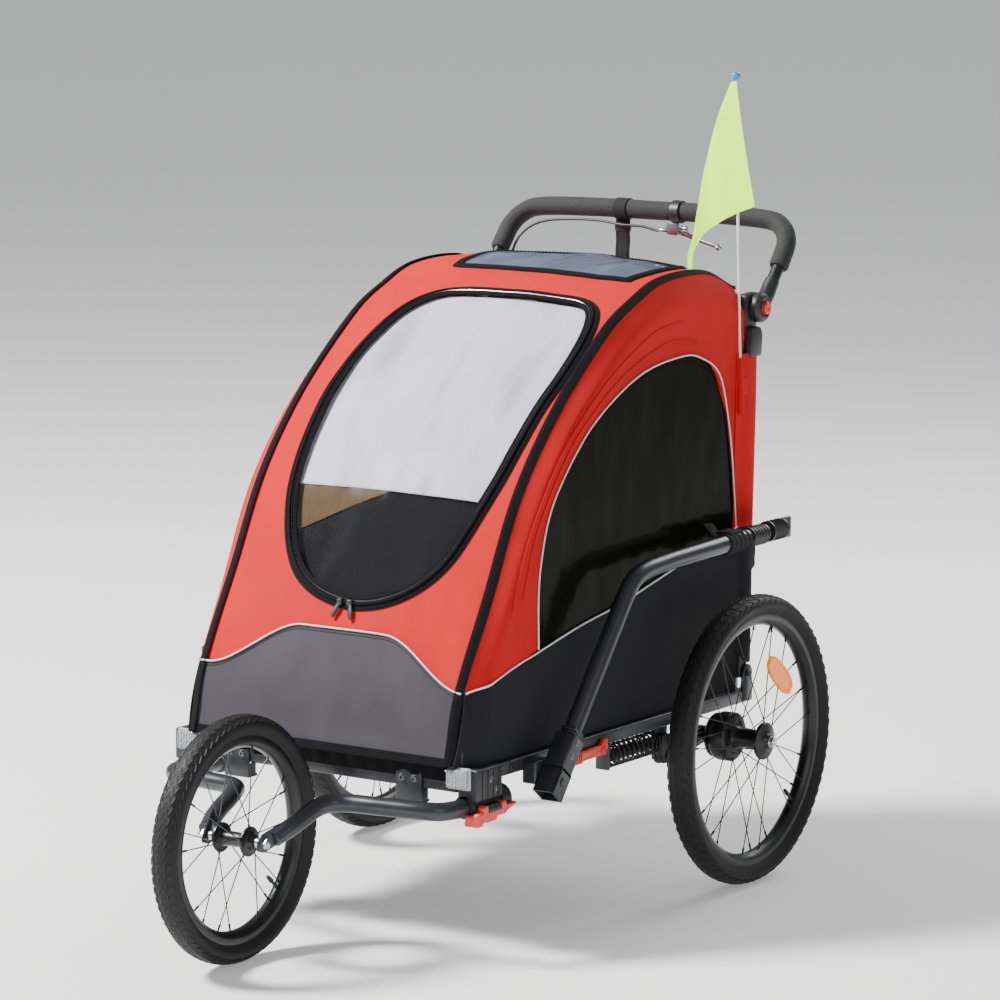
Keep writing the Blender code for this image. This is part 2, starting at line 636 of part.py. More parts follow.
lean = (UPRIGHT_TOP[0] - REAR_PIVOT[0]) / (UPRIGHT_TOP[1] - REAR_PIVOT[1])
bar_y = REAR_PIVOT[0] + lean * (BACKREST_BAR_Z - REAR_PIVOT[1])
bar_half = UPRIGHT_X - UPRIGHT_RADIUS - GAP
finish(rod("backrest_bar", 0.008, (-bar_half, bar_y, BACKREST_BAR_Z), (bar_half, bar_y, BACKREST_BAR_Z)),
       rear_body, FRAME_PAINT)

# ---------------------------------------------------------------- flag
pole_way = (Vector(POLE_HEAD) - Vector(POLE_FOOT)).normalized()
flag_body = pivot("flag", POLE_FOOT, rear_body)
pole = rod("flag_pole", POLE_RADIUS, POLE_FOOT, POLE_HEAD, 8)
tip = ball("tip", BALL_RADIUS, Vector(POLE_HEAD) + pole_way * 0.004)
finish(joined(pole, tip), flag_body, ((0.85, 0.87, 0.85), 0.5))

socket = rod("flag_socket", 0.0060, Vector(POLE_FOOT) - pole_way * 0.010,
             Vector(POLE_FOOT) + pole_way * 0.085, 12)
bridge = box("bridge", (0.2855, POLE_FOOT[1] + 0.003, 0.825), (0.2905, 0.1368, 0.850))
socket = joined(socket, bridge)
socket = cut(socket, rod("socket_bore", POLE_RADIUS + GAP, Vector(POLE_FOOT) - pole_way * 0.020,
                         Vector(POLE_FOOT) + pole_way * 0.1, 8))
finish(socket, rear_body, BLACK_PLASTIC)

PENNANT = [(0.266, 1.358), (0.312, 1.147), (0.276, 1.133), (0.231, 1.113), (0.204, 1.080),
           (0.193, 1.044), (0.197, 1.115), (0.211, 1.210), (0.239, 1.297)]
pennant = slab("pennant", PENNANT, 0.0025)
pennant.rotation_euler = (math.pi / 2, 0.0, 0.0)
pennant.location = (0.0, POLE_FOOT[1] - POLE_RADIUS - 0.0030, 0.0)
finish(pennant, flag_body, ((0.62, 0.85, 0.12), 0.7))

# ---------------------------------------------------------------- front hoop and its cover
hoop_body = pivot("front_hoop", (0.0, *HOOP_PIVOT))


def inset(profile, depth):
    """The side-view profile moved inwards by a depth."""
    pts = [Vector(p) for p in profile]
    moved = []
    for index, point in enumerate(pts):
        along = (pts[min(index + 1, len(pts) - 1)] - pts[max(index - 1, 0)]).normalized()
        moved.append(point + Vector((along.y, -along.x)) * depth)
    return moved


def canopy_hoop():
    """One bent tube: up one side, across the rear top edge and down the other side."""
    depth = COVER_THICKNESS + 0.001 + HOOP_RADIUS
    line = inset([tuple(p) for p in smooth(COVER_PROFILE, 2)], depth)
    side_line = [Vector((HOOP_X, *HOOP_PIVOT))] + [Vector((HOOP_X, *p)) for p in line[2:-1]]
    corner = line[-1]
    across = [Vector((HOOP_X - 0.012, corner[0] - 0.006, corner[1] + 0.001)),
              Vector((HOOP_X - 0.045, corner[0], corner[1])), Vector((0.0, corner[0], corner[1]))]
    half = side_line + across
    path = half + [Vector((-p.x, p.y, p.z)) for p in reversed(half[:-1])]
    hoop = tube("canopy_hoop", HOOP_RADIUS, path)
    pin_end = HOOP_EAR_X + HOOP_EAR_THICKNESS + 0.0025
    pins = [side_rod("pin", side, 0.0040, (HOOP_X - 0.004, pin_end), *HOOP_PIVOT) for side in (1, -1)]
    return joined(hoop, *pins)


def cover_sheet(name):
    """The crowned cover as a closed sheet of even thickness."""
    profile = smooth(COVER_PROFILE, 2)
    rows, columns = len(profile) - 1, 8
    bm = bmesh.new()
    bmesh.ops.create_grid(bm, x_segments=columns, y_segments=rows, size=1.0)
    for vert in bm.verts:
        across = vert.co.x
        row = round((vert.co.y + 1) / 2 * rows)
        here = profile[row]
        along = (profile[min(row + 1, rows)] - profile[max(row - 1, 0)]).normalized()
        crown = COVER_CROWN * (1 - across * across) * min(1.0, row / 3)
        vert.co = (across * COVER_HALF_WIDTH, here.x - along.y * crown, here.y + along.x * crown)
    sheet = obj_from(name, bm)
    wall = sheet.modifiers.new("wall", "SOLIDIFY")
    wall.thickness = COVER_THICKNESS
    wall.offset = -1.0
    return solid(sheet)


def window_prism(name, scale):
    """A prism across the window, along the normal of the window's chord."""
    foot, head = Vector(WINDOW_FOOT), Vector(WINDOW_HEAD)
    middle = 0.330
    half = [(x * scale, middle + (up - middle) * scale) for x, up in WINDOW_HALF]
    outline = [(x, up) for x, up in half] + [(-x, up) for x, up in reversed(half[1:-1])]
    curve = bpy.data.curves.new(name, "CURVE")
    curve.dimensions = "2D"
    curve.fill_mode = "BOTH"
    curve.extrude = 0.10
    line = curve.splines.new("POLY")
    line.points.add(len(outline) - 1)
    for point, (x, up) in zip(line.points, outline):
        point.co = (x, up, 0.0, 1.0)
    line.use_cyclic_u = True
    made = bpy.data.objects.new(name, curve)
    made.location = (WINDOW_SHIFT, *foot)
    made.rotation_euler = (math.atan2(head.y - foot.y, head.x - foot.x), 0.0, 0.0)
    CUTTERS.objects.link(made)
    return solid(made)


finish(canopy_hoop(), hoop_body, FRAME_PAINT)
finish(cut(cover_sheet("front_cover"), window_prism("window_hole", 1.0)), hoop_body, RED_FABRIC)
flap_body = pivot("window_flap_axis", (0.0, *FLAP_HINGE), hoop_body)
flap = combine(cover_sheet("window_flap"), [window_prism("flap_shape", FLAP_SCALE)], "INTERSECT")
finish(flap, flap_body, ((0.6, 0.6, 0.66), 0.1))

# ---------------------------------------------------------------- handlebar
handle_body = pivot("handlebar", (0.0, *HANDLE_PIVOT), rear_body)
HANDLE_HALF = [(BAR_X, 0.196, 0.986), (BAR_X, 0.222, 1.016), (BAR_X, 0.247, 1.047),
               (BAR_X - 0.003, 0.268, 1.074), (BAR_X - 0.020, 0.283, 1.096),
               (BAR_X - 0.055, 0.292, 1.108), (0.120, *BAR_TOP), (0.0, *BAR_TOP)]


def handle_path(steps=2):
    """Centre line of the whole handlebar, from its left end to its right end."""
    whole = HANDLE_HALF + [(-x, y, z) for x, y, z in reversed(HANDLE_HALF[:-1])]
    return smooth(whole, steps)


def handlebar():
    """Bent tube with the turning halves of both handle joints."""
    bar = tube("handlebar_tube", BAR_RADIUS, handle_path())
    for side in (1, -1):
        disc = side_rod("disc", side, HANDLE_DISC, (HANDLE_SPLIT, HANDLE_OUTSIDE), *HANDLE_PIVOT, 20)
        way = Vector((HANDLE_HALF[0][1] - HANDLE_PIVOT[0], HANDLE_HALF[0][2] - HANDLE_PIVOT[1]))
        neck = rod("neck", 0.0085, (side * 0.2955, *(Vector(HANDLE_PIVOT) + way * 0.5)),
                   (side * 0.2950, *(Vector(HANDLE_PIVOT) + way * 1.6)), 12)
        bar = joined(bar, disc, neck)
        pocket = side_rod("pocket", side, BUTTON_RADIUS + 0.0006,
                          (HANDLE_OUTSIDE - BUTTON_POCKET, HANDLE_OUTSIDE + 0.01), *HANDLE_PIVOT, 16)
        bar = cut(bar, pocket)
    return bar


finish(handlebar(), handle_body, FRAME_PAINT)
middle_run = handle_path()[3:-3]
foam = cut(tube("foam_grip", FOAM_RADIUS, middle_run),
           tube("foam_bore", BAR_RADIUS + FOAM_CLEARANCE, handle_path()))
finish(foam, handle_body, FOAM)


def ring_x(name, inner, outer, x, width, centre, sides=16):
    """A band round an axis along X."""
    band = rod(name, outer, (x, *centre), (x + width, *centre), sides)
    return cut(band, rod("band_bore", inner, (x - 0.01, *centre), (x + width + 0.01, *centre), sides))


clamp = ring_x("brake_clamp", FOAM_RADIUS + BAND_CLEARANCE, FOAM_RADIUS + 0.0055, CLAMP_X - 0.009, 0.018, BAR_TOP)
perch = box("perch", (CLAMP_X - 0.022, BAR_TOP[0] - 0.012, 1.066), (CLAMP_X + 0.008, BAR_TOP[0] - 0.001, 1.0935),
            0.002)
finish(joined(clamp, perch), handle_body, BLACK_PLASTIC)

LEVER_PIVOT = (CLAMP_X, 1.077)
lever_body = pivot("brake_lever_axis", (LEVER_PIVOT[0], BAR_TOP[0], LEVER_PIVOT[1]), handle_body)
lever_y = BAR_TOP[0] + 0.0045
boss = rod("brake_lever", 0.0075, (CLAMP_X, BAR_TOP[0], LEVER_PIVOT[1]),
           (CLAMP_X, BAR_TOP[0] + 0.009, LEVER_PIVOT[1]), 12)
blade = tube("blade", 0.0035, smooth([(CLAMP_X, lever_y, LEVER_PIVOT[1]), (CLAMP_X + 0.028, lever_y, 1.064),
                                      (CLAMP_X + 0.055, lever_y, 1.055), (CLAMP_X + 0.078, lever_y, 1.052)], 2))
finish(joined(boss, blade, ball("lever_ball", 0.0065, (CLAMP_X + 0.080, lever_y, 1.052), 8)),
       lever_body, STEEL)

strap = ring_x("wrist_strap", FOAM_RADIUS + BAND_CLEARANCE, FOAM_RADIUS + 0.0035, -0.076, 0.026, BAR_TOP)
tail = box("tail", (-0.076, BAR_TOP[0] - 0.004, 1.017), (-0.050, BAR_TOP[0] - 0.0015, 1.0944))
finish(joined(strap, tail), handle_body, WEBBING)

CABLE_POINTS = [(0.0275, 0.289, 1.078), (0.010, 0.288, 1.077), (-0.020, 0.288, 1.083), (-0.060, 0.284, 1.084),
                (-0.120, 0.290, 1.089), (-0.200, 0.286, 1.086), (-0.240, 0.274, 1.076), (-0.264, 0.260, 1.052),
                (-0.265, 0.236, 1.018), (-0.263, 0.215, 0.990)]
finish(tube("brake_cable", 0.0025, smooth(CABLE_POINTS, 2)), handle_body, WEBBING)

for side in (1, -1):
    label = side_name(side)
    button_body = pivot(f"button_{label}_axis", (side * HANDLE_OUTSIDE, *HANDLE_PIVOT), handle_body)
    start = HANDLE_OUTSIDE - BUTTON_POCKET + BUTTON_TRAVEL + 0.0008
    finish(side_rod(f"handle_button_{label}", side, BUTTON_RADIUS, (start, HANDLE_OUTSIDE + 0.006),
                    *HANDLE_PIVOT, 16), button_body, RED_PLASTIC)

# ---------------------------------------------------------------- soft cabin
PANEL = [(-0.640, PANEL_BOTTOM), (-0.672, 0.400), (-0.660, 0.430), (-0.585, 0.570), (-0.505, 0.710),
         (-0.400, 0.825), (-0.262, 0.930), (-0.175, 0.975), (-0.092, 1.003), (0.030, 1.006),
         (0.096, 0.990), (0.099, 0.770), (PANEL_REAR, 0.745), (PANEL_REAR, 0.370), (0.098, PANEL_BOTTOM)]
for side in (1, -1):
    finish(slab(f"side_panel_{side_name(side)}", PANEL, PANEL_THICKNESS, side * PANEL_X), None, RED_FABRIC)
finish(box("rear_panel", (-0.256, 0.1215, 0.312), (0.256, 0.1255, 0.960)), None, DARK_FABRIC)
finish(box("seat_cushion", (-0.215, -0.300, 0.340), (0.215, 0.020, 0.395), 0.012), None, DARK_FABRIC)
finish(box("seat_back", (-0.215, 0.055, 0.360), (0.215, 0.095, 0.860), 0.010), None, DARK_FABRIC)


# ---------------------------------------------------------------- tow arm
def tow_arm():
    """Bent tube welded into a square socket that turns on the bracket's pin."""
    path = [(TOW_X, -0.530, 0.300)] + [tuple(p) for p in smooth(
        [(TOW_X, -0.345, 0.534), (TOW_X, -0.318, 0.560), (TOW_X, -0.280, 0.573), (TOW_X, -0.200, 0.579)], 3)]
    path.append((TOW_X, COUPLER_START - COUPLER_SWING_GAP, COUPLER_Z))
    arm = tube("tow_arm", TOW_RADIUS, path)
    way = Vector((0.0, 0.185, 0.234)).normalized()
    half = TOW_SOCKET / 2
    socket = box("square_socket", (-half, -half, -0.035), (half, half, 0.075), 0.002)
    socket.rotation_euler = way.to_track_quat("Z", "X").to_euler()
    socket.location = Vector((TOW_X, *TOW_PIVOT)) + way * 0.020
    bpy.context.view_layer.update()
    mouth = box("mouth", (-half + 0.004, -half + 0.004, -0.06), (half - 0.004, half - 0.004, -0.018))
    mouth.rotation_euler = socket.rotation_euler
    mouth.location = Vector((TOW_X, *TOW_PIVOT)) - way * 0.035
    bore_cut = rod("pin_bore", AXLE_RADIUS + AXLE_CLEARANCE, (TOW_X - 0.04, *TOW_PIVOT),
                   (TOW_X + 0.04, *TOW_PIVOT), 16)
    return cut(joined(arm, socket), mouth, bore_cut)


tow_body = pivot("tow_arm_axis", (TOW_X, *TOW_PIVOT))
finish(tow_arm(), tow_body, FRAME_PAINT)

hitch_body = pivot("hitch_coupler_axis", (TOW_X, COUPLER_START + 0.010, COUPLER_Z), tow_body)
coupler = rod("hitch_coupler", 0.019, (TOW_X, COUPLER_START, COUPLER_Z),
              (TOW_X, COUPLER_START + 0.050, COUPLER_Z), 16)
tongue = box("tongue", (TOW_X - 0.004, COUPLER_START + 0.040, COUPLER_Z - 0.018),
             (TOW_X + 0.004, COUPLER_START + COUPLER_LENGTH, COUPLER_Z + 0.018), 0.001)
finish(joined(coupler, tongue), hitch_body, BLACK_PLASTIC)

band = rod("stow_strap", TOW_RADIUS + 0.004, (TOW_X, -0.010, 0.5838), (TOW_X, 0.030, 0.5848), 16)
finish(cut(band, rod("strap_bore", TOW_RADIUS + 0.0015, (TOW_X, -0.03, 0.5834), (TOW_X, 0.05, 0.5852), 16)),
       tow_body, WEBBING)
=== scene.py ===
# %% [markdown]
# # A child bicycle trailer, finished
# The frame file gives the working parts: tubes, hinges and wheels at their real size. This lesson puts the
# real surfaces on them. Fabric is lofted over the hoops and the seat is blown up by a cloth simulation.
# Tubes are swept, and whatever repeats (tread, spokes, stitches, zip teeth) grows from Geometry Nodes.

# %% Load the frame
import math

import bmesh
import bpy
from mathutils import Matrix, Vector, noise


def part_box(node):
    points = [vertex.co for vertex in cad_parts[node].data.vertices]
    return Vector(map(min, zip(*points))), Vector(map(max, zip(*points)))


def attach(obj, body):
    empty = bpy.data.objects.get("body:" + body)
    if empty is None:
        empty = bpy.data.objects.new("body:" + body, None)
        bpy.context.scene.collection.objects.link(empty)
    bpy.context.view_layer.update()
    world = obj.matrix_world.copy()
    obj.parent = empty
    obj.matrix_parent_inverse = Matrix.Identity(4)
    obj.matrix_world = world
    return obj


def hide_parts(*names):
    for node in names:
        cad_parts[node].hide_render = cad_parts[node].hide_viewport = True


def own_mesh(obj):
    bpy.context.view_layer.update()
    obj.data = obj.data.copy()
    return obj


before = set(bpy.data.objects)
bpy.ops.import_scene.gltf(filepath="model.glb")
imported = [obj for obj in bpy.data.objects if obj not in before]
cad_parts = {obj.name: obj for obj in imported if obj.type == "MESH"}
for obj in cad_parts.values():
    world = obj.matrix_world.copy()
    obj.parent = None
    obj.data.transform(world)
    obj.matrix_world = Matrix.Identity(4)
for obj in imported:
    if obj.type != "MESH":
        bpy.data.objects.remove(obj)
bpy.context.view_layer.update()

# %% [markdown]
# ## Where things are
# Every place is measured from the ground under the rear axle, as a frame builder would do it, so one helper
# moves a point from there into the frame. Sizes that the frame already knows are read from its boxes.

# %% Places and sizes
AXLE_LOW, AXLE_HIGH = (Vector(corner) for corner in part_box("left_tyre"))
REAR_AXLE_Y = (AXLE_LOW.y + AXLE_HIGH.y) / 2
REAR_RADIUS = (AXLE_HIGH.z - AXLE_LOW.z) / 2
HALF_TRACK = (AXLE_LOW.x + AXLE_HIGH.x) / 2
TYRE_WIDTH = AXLE_HIGH.x - AXLE_LOW.x
FRONT_LOW, FRONT_HIGH = (Vector(corner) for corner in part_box("front_tyre"))
FRONT_RADIUS = (FRONT_HIGH.z - FRONT_LOW.z) / 2
WHEELBASE = REAR_AXLE_Y - (FRONT_LOW.y + FRONT_HIGH.y) / 2
SIDES = (("left", 1), ("right", -1))


def at(x, y, z):
    """A point given from the ground under the rear axle, in the frame."""
    return Vector((x, y + REAR_AXLE_Y, z))


def middle(node):
    """The middle of a node's box."""
    low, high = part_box(node)
    return (Vector(low) + Vector(high)) / 2


print(f"wheelbase {WHEELBASE:.3f} m, rear wheel {2 * REAR_RADIUS:.2f} m, front wheel {2 * FRONT_RADIUS:.2f} m")

# %% [markdown]
# ## The camera comes first
# A long lens from a few metres away, a little above the roof and a third of the way round the left side.

# %% Camera
CAMERA_PLACE = at(4.040, -6.385, 1.735)
CAMERA_AZIMUTH = math.radians(33.14)
CAMERA_HEIGHT_ANGLE = math.radians(8.35)
CAMERA_ROLL = math.radians(0.54)
CAMERA_LENS = 158.4

away = Vector((math.sin(CAMERA_AZIMUTH) * math.cos(CAMERA_HEIGHT_ANGLE),
               -math.cos(CAMERA_AZIMUTH) * math.cos(CAMERA_HEIGHT_ANGLE), math.sin(CAMERA_HEIGHT_ANGLE)))
level = Vector((0, 0, 1)).cross(away).normalized()
upright = away.cross(level)
right = level * math.cos(CAMERA_ROLL) + upright * math.sin(CAMERA_ROLL)
above = upright * math.cos(CAMERA_ROLL) - level * math.sin(CAMERA_ROLL)
camera = bpy.data.objects.new("camera", bpy.data.cameras.new("camera"))
camera.data.lens = CAMERA_LENS
camera.matrix_world = Matrix.Translation(CAMERA_PLACE) @ Matrix((right, above, away)).transposed().to_4x4()
bpy.context.collection.objects.link(camera)
bpy.context.scene.camera = camera

# %% [markdown]
# ## Light and floor
# One large soft key from the front on the trailer's right, a weak fill from its left, and a pale room.

# %% Studio
KEY_PLACE, KEY_POWER, KEY_SIZE = at(-4.0, -3.3, 5.8), 1500, 1.5
FILL_PLACE, FILL_POWER, FILL_SIZE = at(5.5, -2.5, 2.8), 60, 3.0
RIM_PLACE, RIM_POWER, RIM_SIZE = at(0.5, 4.5, 3.8), 160, 2.5
ROOM_LIGHT = 0.34


def area_light(name, place, power, size):
    """A square soft light aimed at the middle of the cabin."""
    lamp = bpy.data.lights.new(name, "AREA")
    lamp.energy = power
    lamp.size = size
    made = bpy.data.objects.new(name, lamp)
    made.location = place
    made.rotation_euler = (at(0, -0.3, 0.5) - place).to_track_quat("-Z", "Y").to_euler()
    bpy.context.collection.objects.link(made)


area_light("key", KEY_PLACE, KEY_POWER, KEY_SIZE)
area_light("fill", FILL_PLACE, FILL_POWER, FILL_SIZE)
area_light("rim", RIM_PLACE, RIM_POWER, RIM_SIZE)
world = bpy.data.worlds.new("room")
world.use_nodes = True
world.node_tree.nodes["Background"].inputs["Color"].default_value = (0.93, 0.95, 1.0, 1.0)
world.node_tree.nodes["Background"].inputs["Strength"].default_value = ROOM_LIGHT
bpy.context.scene.world = world

# %% [markdown]
# ## Finishes as sums
# A finish is written like arithmetic: `Field` wraps a value in the node tree, and `+`, `-`, `*` and `/` on it
# add Math nodes. Every other node comes from `Finish.node`.


# %% Shader maths
class Field:
    """A number that varies over the surface."""

    def __init__(self, tree, socket):
        self.tree, self.socket = tree, socket

    def math(self, operation, other=None, swapped=False):
        made = self.tree.nodes.new("ShaderNodeMath")
        made.operation = operation
        pair = (other, self) if swapped else (self, other)
        for target, value in zip(made.inputs, pair):
            if isinstance(value, Field):
                self.tree.links.new(value.socket, target)
            elif value is not None:
                target.default_value = value
        return Field(self.tree, made.outputs[0])

    def __add__(self, other):
        return self.math("ADD", other)

    def __sub__(self, other):
        return self.math("SUBTRACT", other)

    def __rsub__(self, other):
        return self.math("SUBTRACT", other, True)

    def __mul__(self, other):
        return self.math("MULTIPLY", other)

    def __truediv__(self, other):
        return self.math("DIVIDE", other)

    __radd__, __rmul__ = __add__, __mul__

    def wave(self, length):
        """A sine of this value with the given wave length."""
        return (self * (2 * math.pi / length)).math("SINE")

    def above(self, edge, soft=0.05):
        """0 below an edge and 1 above it."""
        return ((self - edge) / soft + 0.5).math("MAXIMUM", 0.0).math("MINIMUM", 1.0)


class Finish:
    """A Principled material that is fed by fields."""

    def __init__(self, name, colour, roughness, metallic=0.0, coordinates="Object", **constants):
        self.material = bpy.data.materials.new(name)
        self.material.use_nodes = True
        self.tree = self.material.node_tree
        self.shader = self.tree.nodes["Principled BSDF"]
        self.colour = colour
        self.feed("Base Color", (*colour, 1.0))
        self.feed("Roughness", roughness)
        self.feed("Metallic", metallic)
        for socket, value in constants.items():
            self.feed(socket.replace("_", " "), value)
        self.place = self.node("ShaderNodeTexCoord", out=coordinates)

    def feed(self, socket, value):
        target = self.shader.inputs[socket]
        if isinstance(value, Field):
            self.tree.links.new(value.socket, target)
        else:
            target.default_value = value

    def node(self, kind, settings=None, sockets=None, out=0):
        """Any node: its settings first, then the values or links of its sockets."""
        made = self.tree.nodes.new(kind)
        for key, value in (settings or {}).items():
            setattr(made, key, value)
        for key, value in (sockets or {}).items():
            if isinstance(value, Field):
                self.tree.links.new(value.socket, made.inputs[key])
            else:
                made.inputs[key].default_value = value
        return Field(self.tree, made.outputs[out])

    def axis(self, letter):
        return self.node("ShaderNodeSeparateXYZ", sockets={0: self.place}, out=letter)

    def grain(self, scale, detail=3.0, stretch=None):
        """Noise with about this many spots per metre."""
        place = self.place
        if stretch:
            place = self.node("ShaderNodeMapping", sockets={0: self.place, "Scale": stretch})
        return self.node("ShaderNodeTexNoise", sockets={"Vector": place, "Scale": scale, "Detail": detail})

    def tint(self, amount, other):
        """Base Color as a mix of the finish's colour and another one."""
        mixed = self.node("ShaderNodeMix", {"data_type": "RGBA"},
                          {0: amount, 6: (*self.colour, 1.0), 7: (*other, 1.0)}, out=2)
        self.feed("Base Color", mixed)
        return self

    def bump(self, height, depth):
        """Raise the surface by a field, depth metres from 0 to 1."""
        self.feed("Normal", self.node("ShaderNodeBump", sockets={"Height": height, "Distance": depth,
                                                                  "Strength": 1.0}))
        return self


# %% [markdown]
# ## The finishes
# Cloth is a weave of two sines with a slow change of shade over it. Tubes carry a powder coat with a faint
# orange peel, and mouldings a fine spark-eroded grain.


# %% Cloth, paint and plastic
def cloth(name, colour, shade, thread=0.0016, wrinkle=0.0, coordinates="UV", gloss=0.25, **constants):
    """Woven cloth. Thread is the distance between two threads, wrinkle the depth of slow creases."""
    made = Finish(name, colour, 0.82, coordinates=coordinates, Specular_IOR_Level=gloss, **constants)
    weave = (made.axis("X").wave(thread) * made.axis("Y").wave(thread)) * 0.5 + 0.5
    mottle = made.grain(9.0, 5.0)
    fibre = made.grain(900.0, 2.0)
    made.tint((mottle * 0.55 + fibre * 0.45 + weave * 0.12).above(0.56, 0.5), shade)
    made.feed("Roughness", 0.72 + fibre * 0.2)
    crease = made.grain(14.0, 2.0, stretch=(1.0, 0.35, 1.0)) * wrinkle
    return made.bump(weave * 0.00025 + fibre * 0.0002 + crease, 1.0)


def powder_coat(name, colour, worn):
    """Satin powder coat with orange peel, thinner where it is rubbed."""
    made = Finish(name, colour, 0.4, 0.35, Coat_Weight=0.15, Coat_Roughness=0.3)
    peel = made.grain(650.0, 2.0)
    rub = made.grain(22.0, 6.0)
    made.tint(rub.above(0.66, 0.12) * 0.5, worn)
    made.feed("Roughness", 0.26 + rub * 0.16)
    return made.bump(peel, 0.00012)


def moulded(name, colour, roughness, shine=0.0):
    """Moulded plastic with a fine grain and a little dust."""
    made = Finish(name, colour, roughness, Coat_Weight=shine)
    grit = made.grain(1400.0, 2.0)
    dust = made.grain(30.0, 5.0)
    made.tint(dust.above(0.6, 0.3) * 0.35, tuple(min(1.0, c * 1.25 + 0.02) for c in colour))
    made.feed("Roughness", roughness - 0.06 + grit * 0.16)
    return made.bump(grit, 0.00008)


RED_CLOTH = cloth("red_cloth", (0.62, 0.0085, 0.009), (0.48, 0.005, 0.006), wrinkle=0.0016)
GREY_CLOTH = cloth("grey_cloth", (0.066, 0.060, 0.073), (0.040, 0.036, 0.046), wrinkle=0.0035)
SIDE_CLOTH = cloth("side_cloth", (0.014, 0.014, 0.017), (0.009, 0.009, 0.011), wrinkle=0.0012)
SEAT_CLOTH = cloth("seat_cloth", (0.030, 0.030, 0.035), (0.018, 0.018, 0.022), coordinates="Object")
BINDING = cloth("binding_tape", (0.008, 0.008, 0.009), (0.004, 0.004, 0.005), thread=0.0024, gloss=0.10)
PIPING = cloth("reflective_piping", (0.78, 0.78, 0.80), (0.62, 0.62, 0.65), thread=0.0012)
SHADE_CLOTH = cloth("sunshade_cloth", (0.70, 0.68, 0.79), (0.60, 0.58, 0.69), wrinkle=0.002)
# The pennant's emission is a painted glow: it brightens the cloth as if lit, though it is no lamp.
FLAG_CLOTH = cloth("flag_cloth", (0.60, 0.98, 0.05), (0.52, 0.92, 0.03), thread=0.001, gloss=0.1,
                   Emission_Color=(0.58, 1.0, 0.04, 1.0), Emission_Strength=1.1)
WEBBING = cloth("webbing", (0.020, 0.020, 0.022), (0.012, 0.012, 0.014), thread=0.003, coordinates="Object")
PAINT = powder_coat("frame_coat", (0.026, 0.029, 0.035), (0.05, 0.054, 0.062))
BLACK_PAINT = powder_coat("black_coat", (0.014, 0.014, 0.016), (0.03, 0.03, 0.032))
BLACK_PLASTIC = moulded("black_moulding", (0.016, 0.016, 0.018), 0.42)
RED_PLASTIC = moulded("red_moulding", (0.70, 0.035, 0.025), 0.32, 0.3)
BLUE_PLASTIC = moulded("blue_moulding", (0.03, 0.25, 0.62), 0.3, 0.3)
WHITE_ROD = moulded("white_rod", (0.78, 0.80, 0.78), 0.4)
SHELL_GREY = moulded("reflector_shell", (0.42, 0.43, 0.45), 0.3, 0.4)


# %% [markdown]
# Rubber is dull and dusty, foam has open pores, bright steel is brushed along its length, and the reflectors
# are moulded as rows of little prisms under a clear face, with painted facet shade on the prisms and a painted
# glow on the amber one.


# %% Rubber, steel, reflectors and film
def rubber(name, colour, dusty):
    """Tyre rubber with road dust in its low places."""
    made = Finish(name, colour, 0.75, Specular_IOR_Level=0.3)
    dirt = made.grain(45.0, 7.0)
    made.tint(dirt.above(0.52, 0.3) * 0.6, dusty)
    made.feed("Roughness", 0.42 + dirt * 0.35)
    return made.bump(made.grain(500.0, 3.0), 0.0003)


def pored(name, colour, light):
    """Soft foam with a skin of small pores and long creases."""
    made = Finish(name, colour, 0.85)
    pores = made.grain(380.0, 4.0)
    made.tint(pores.above(0.55, 0.25), light)
    return made.bump(pores * 0.0006 + made.grain(60.0, 2.0) * 0.0006, 1.0)


def bright_steel(name, colour, rough=0.16, metallic=1.0):
    made = Finish(name, colour, 0.24, metallic)
    streak = made.grain(120.0, 3.0, stretch=(1.0, 12.0, 12.0))
    made.feed("Roughness", rough + streak * 0.2)
    return made.bump(streak, 0.00005)


def prismatic(name, colour, pitch=0.0035, **constants):
    """Reflector face: rows of small prisms."""
    made = Finish(name, colour, 0.18, Coat_Weight=0.6, **constants)
    prisms = made.axis("X").wave(pitch) * made.axis("Z").wave(pitch) + made.axis("Y").wave(pitch) * 0.6
    # The prisms' dark cells are painted facet shade, tinted into the colour along the prism pattern.
    made.tint(prisms * 0.35 + 0.35, tuple(c * 0.28 for c in colour))
    return made.bump(prisms, 0.0006)


def film(name, colour, alpha, ripple, streak_colour, gloss=0.5):
    """Clear flexible film: glossy, see-through, with the ripples of a sheet that has been rolled up. Along the
    ripples the film is painted more opaque in a streak colour, which on the roof and side panes is painted
    reflection.
    """
    made = Finish(name, colour, 0.08, Specular_IOR_Level=gloss, coordinates="UV")
    ripple_and_reflection = made.grain(16.0, 3.0, stretch=(1.0, 0.22, 1.0))
    # Ripples of the rolled film, and streaks of painted reflection in the streak colour.
    made.tint(ripple_and_reflection * 0.6, streak_colour)
    made.feed("Alpha", alpha + ripple_and_reflection.above(0.62, 0.2) * 0.12)
    made.feed("Roughness", 0.06 + ripple_and_reflection * 0.14)
    return made.bump(ripple_and_reflection, ripple)


TYRE = rubber("tyre_rubber", (0.008, 0.008, 0.009), (0.015, 0.0145, 0.014))
FOAM = pored("grip_foam", (0.017, 0.017, 0.018), (0.032, 0.032, 0.034))
STEEL = bright_steel("bright_steel", (0.68, 0.68, 0.70))
SATIN_ALLOY = bright_steel("satin_alloy", (0.36, 0.38, 0.41), 0.22, 1.0)
DARK_STEEL = bright_steel("dark_steel", (0.16, 0.16, 0.17))
CLEAR_REFLECTOR = prismatic("clear_reflector", (0.50, 0.52, 0.55))
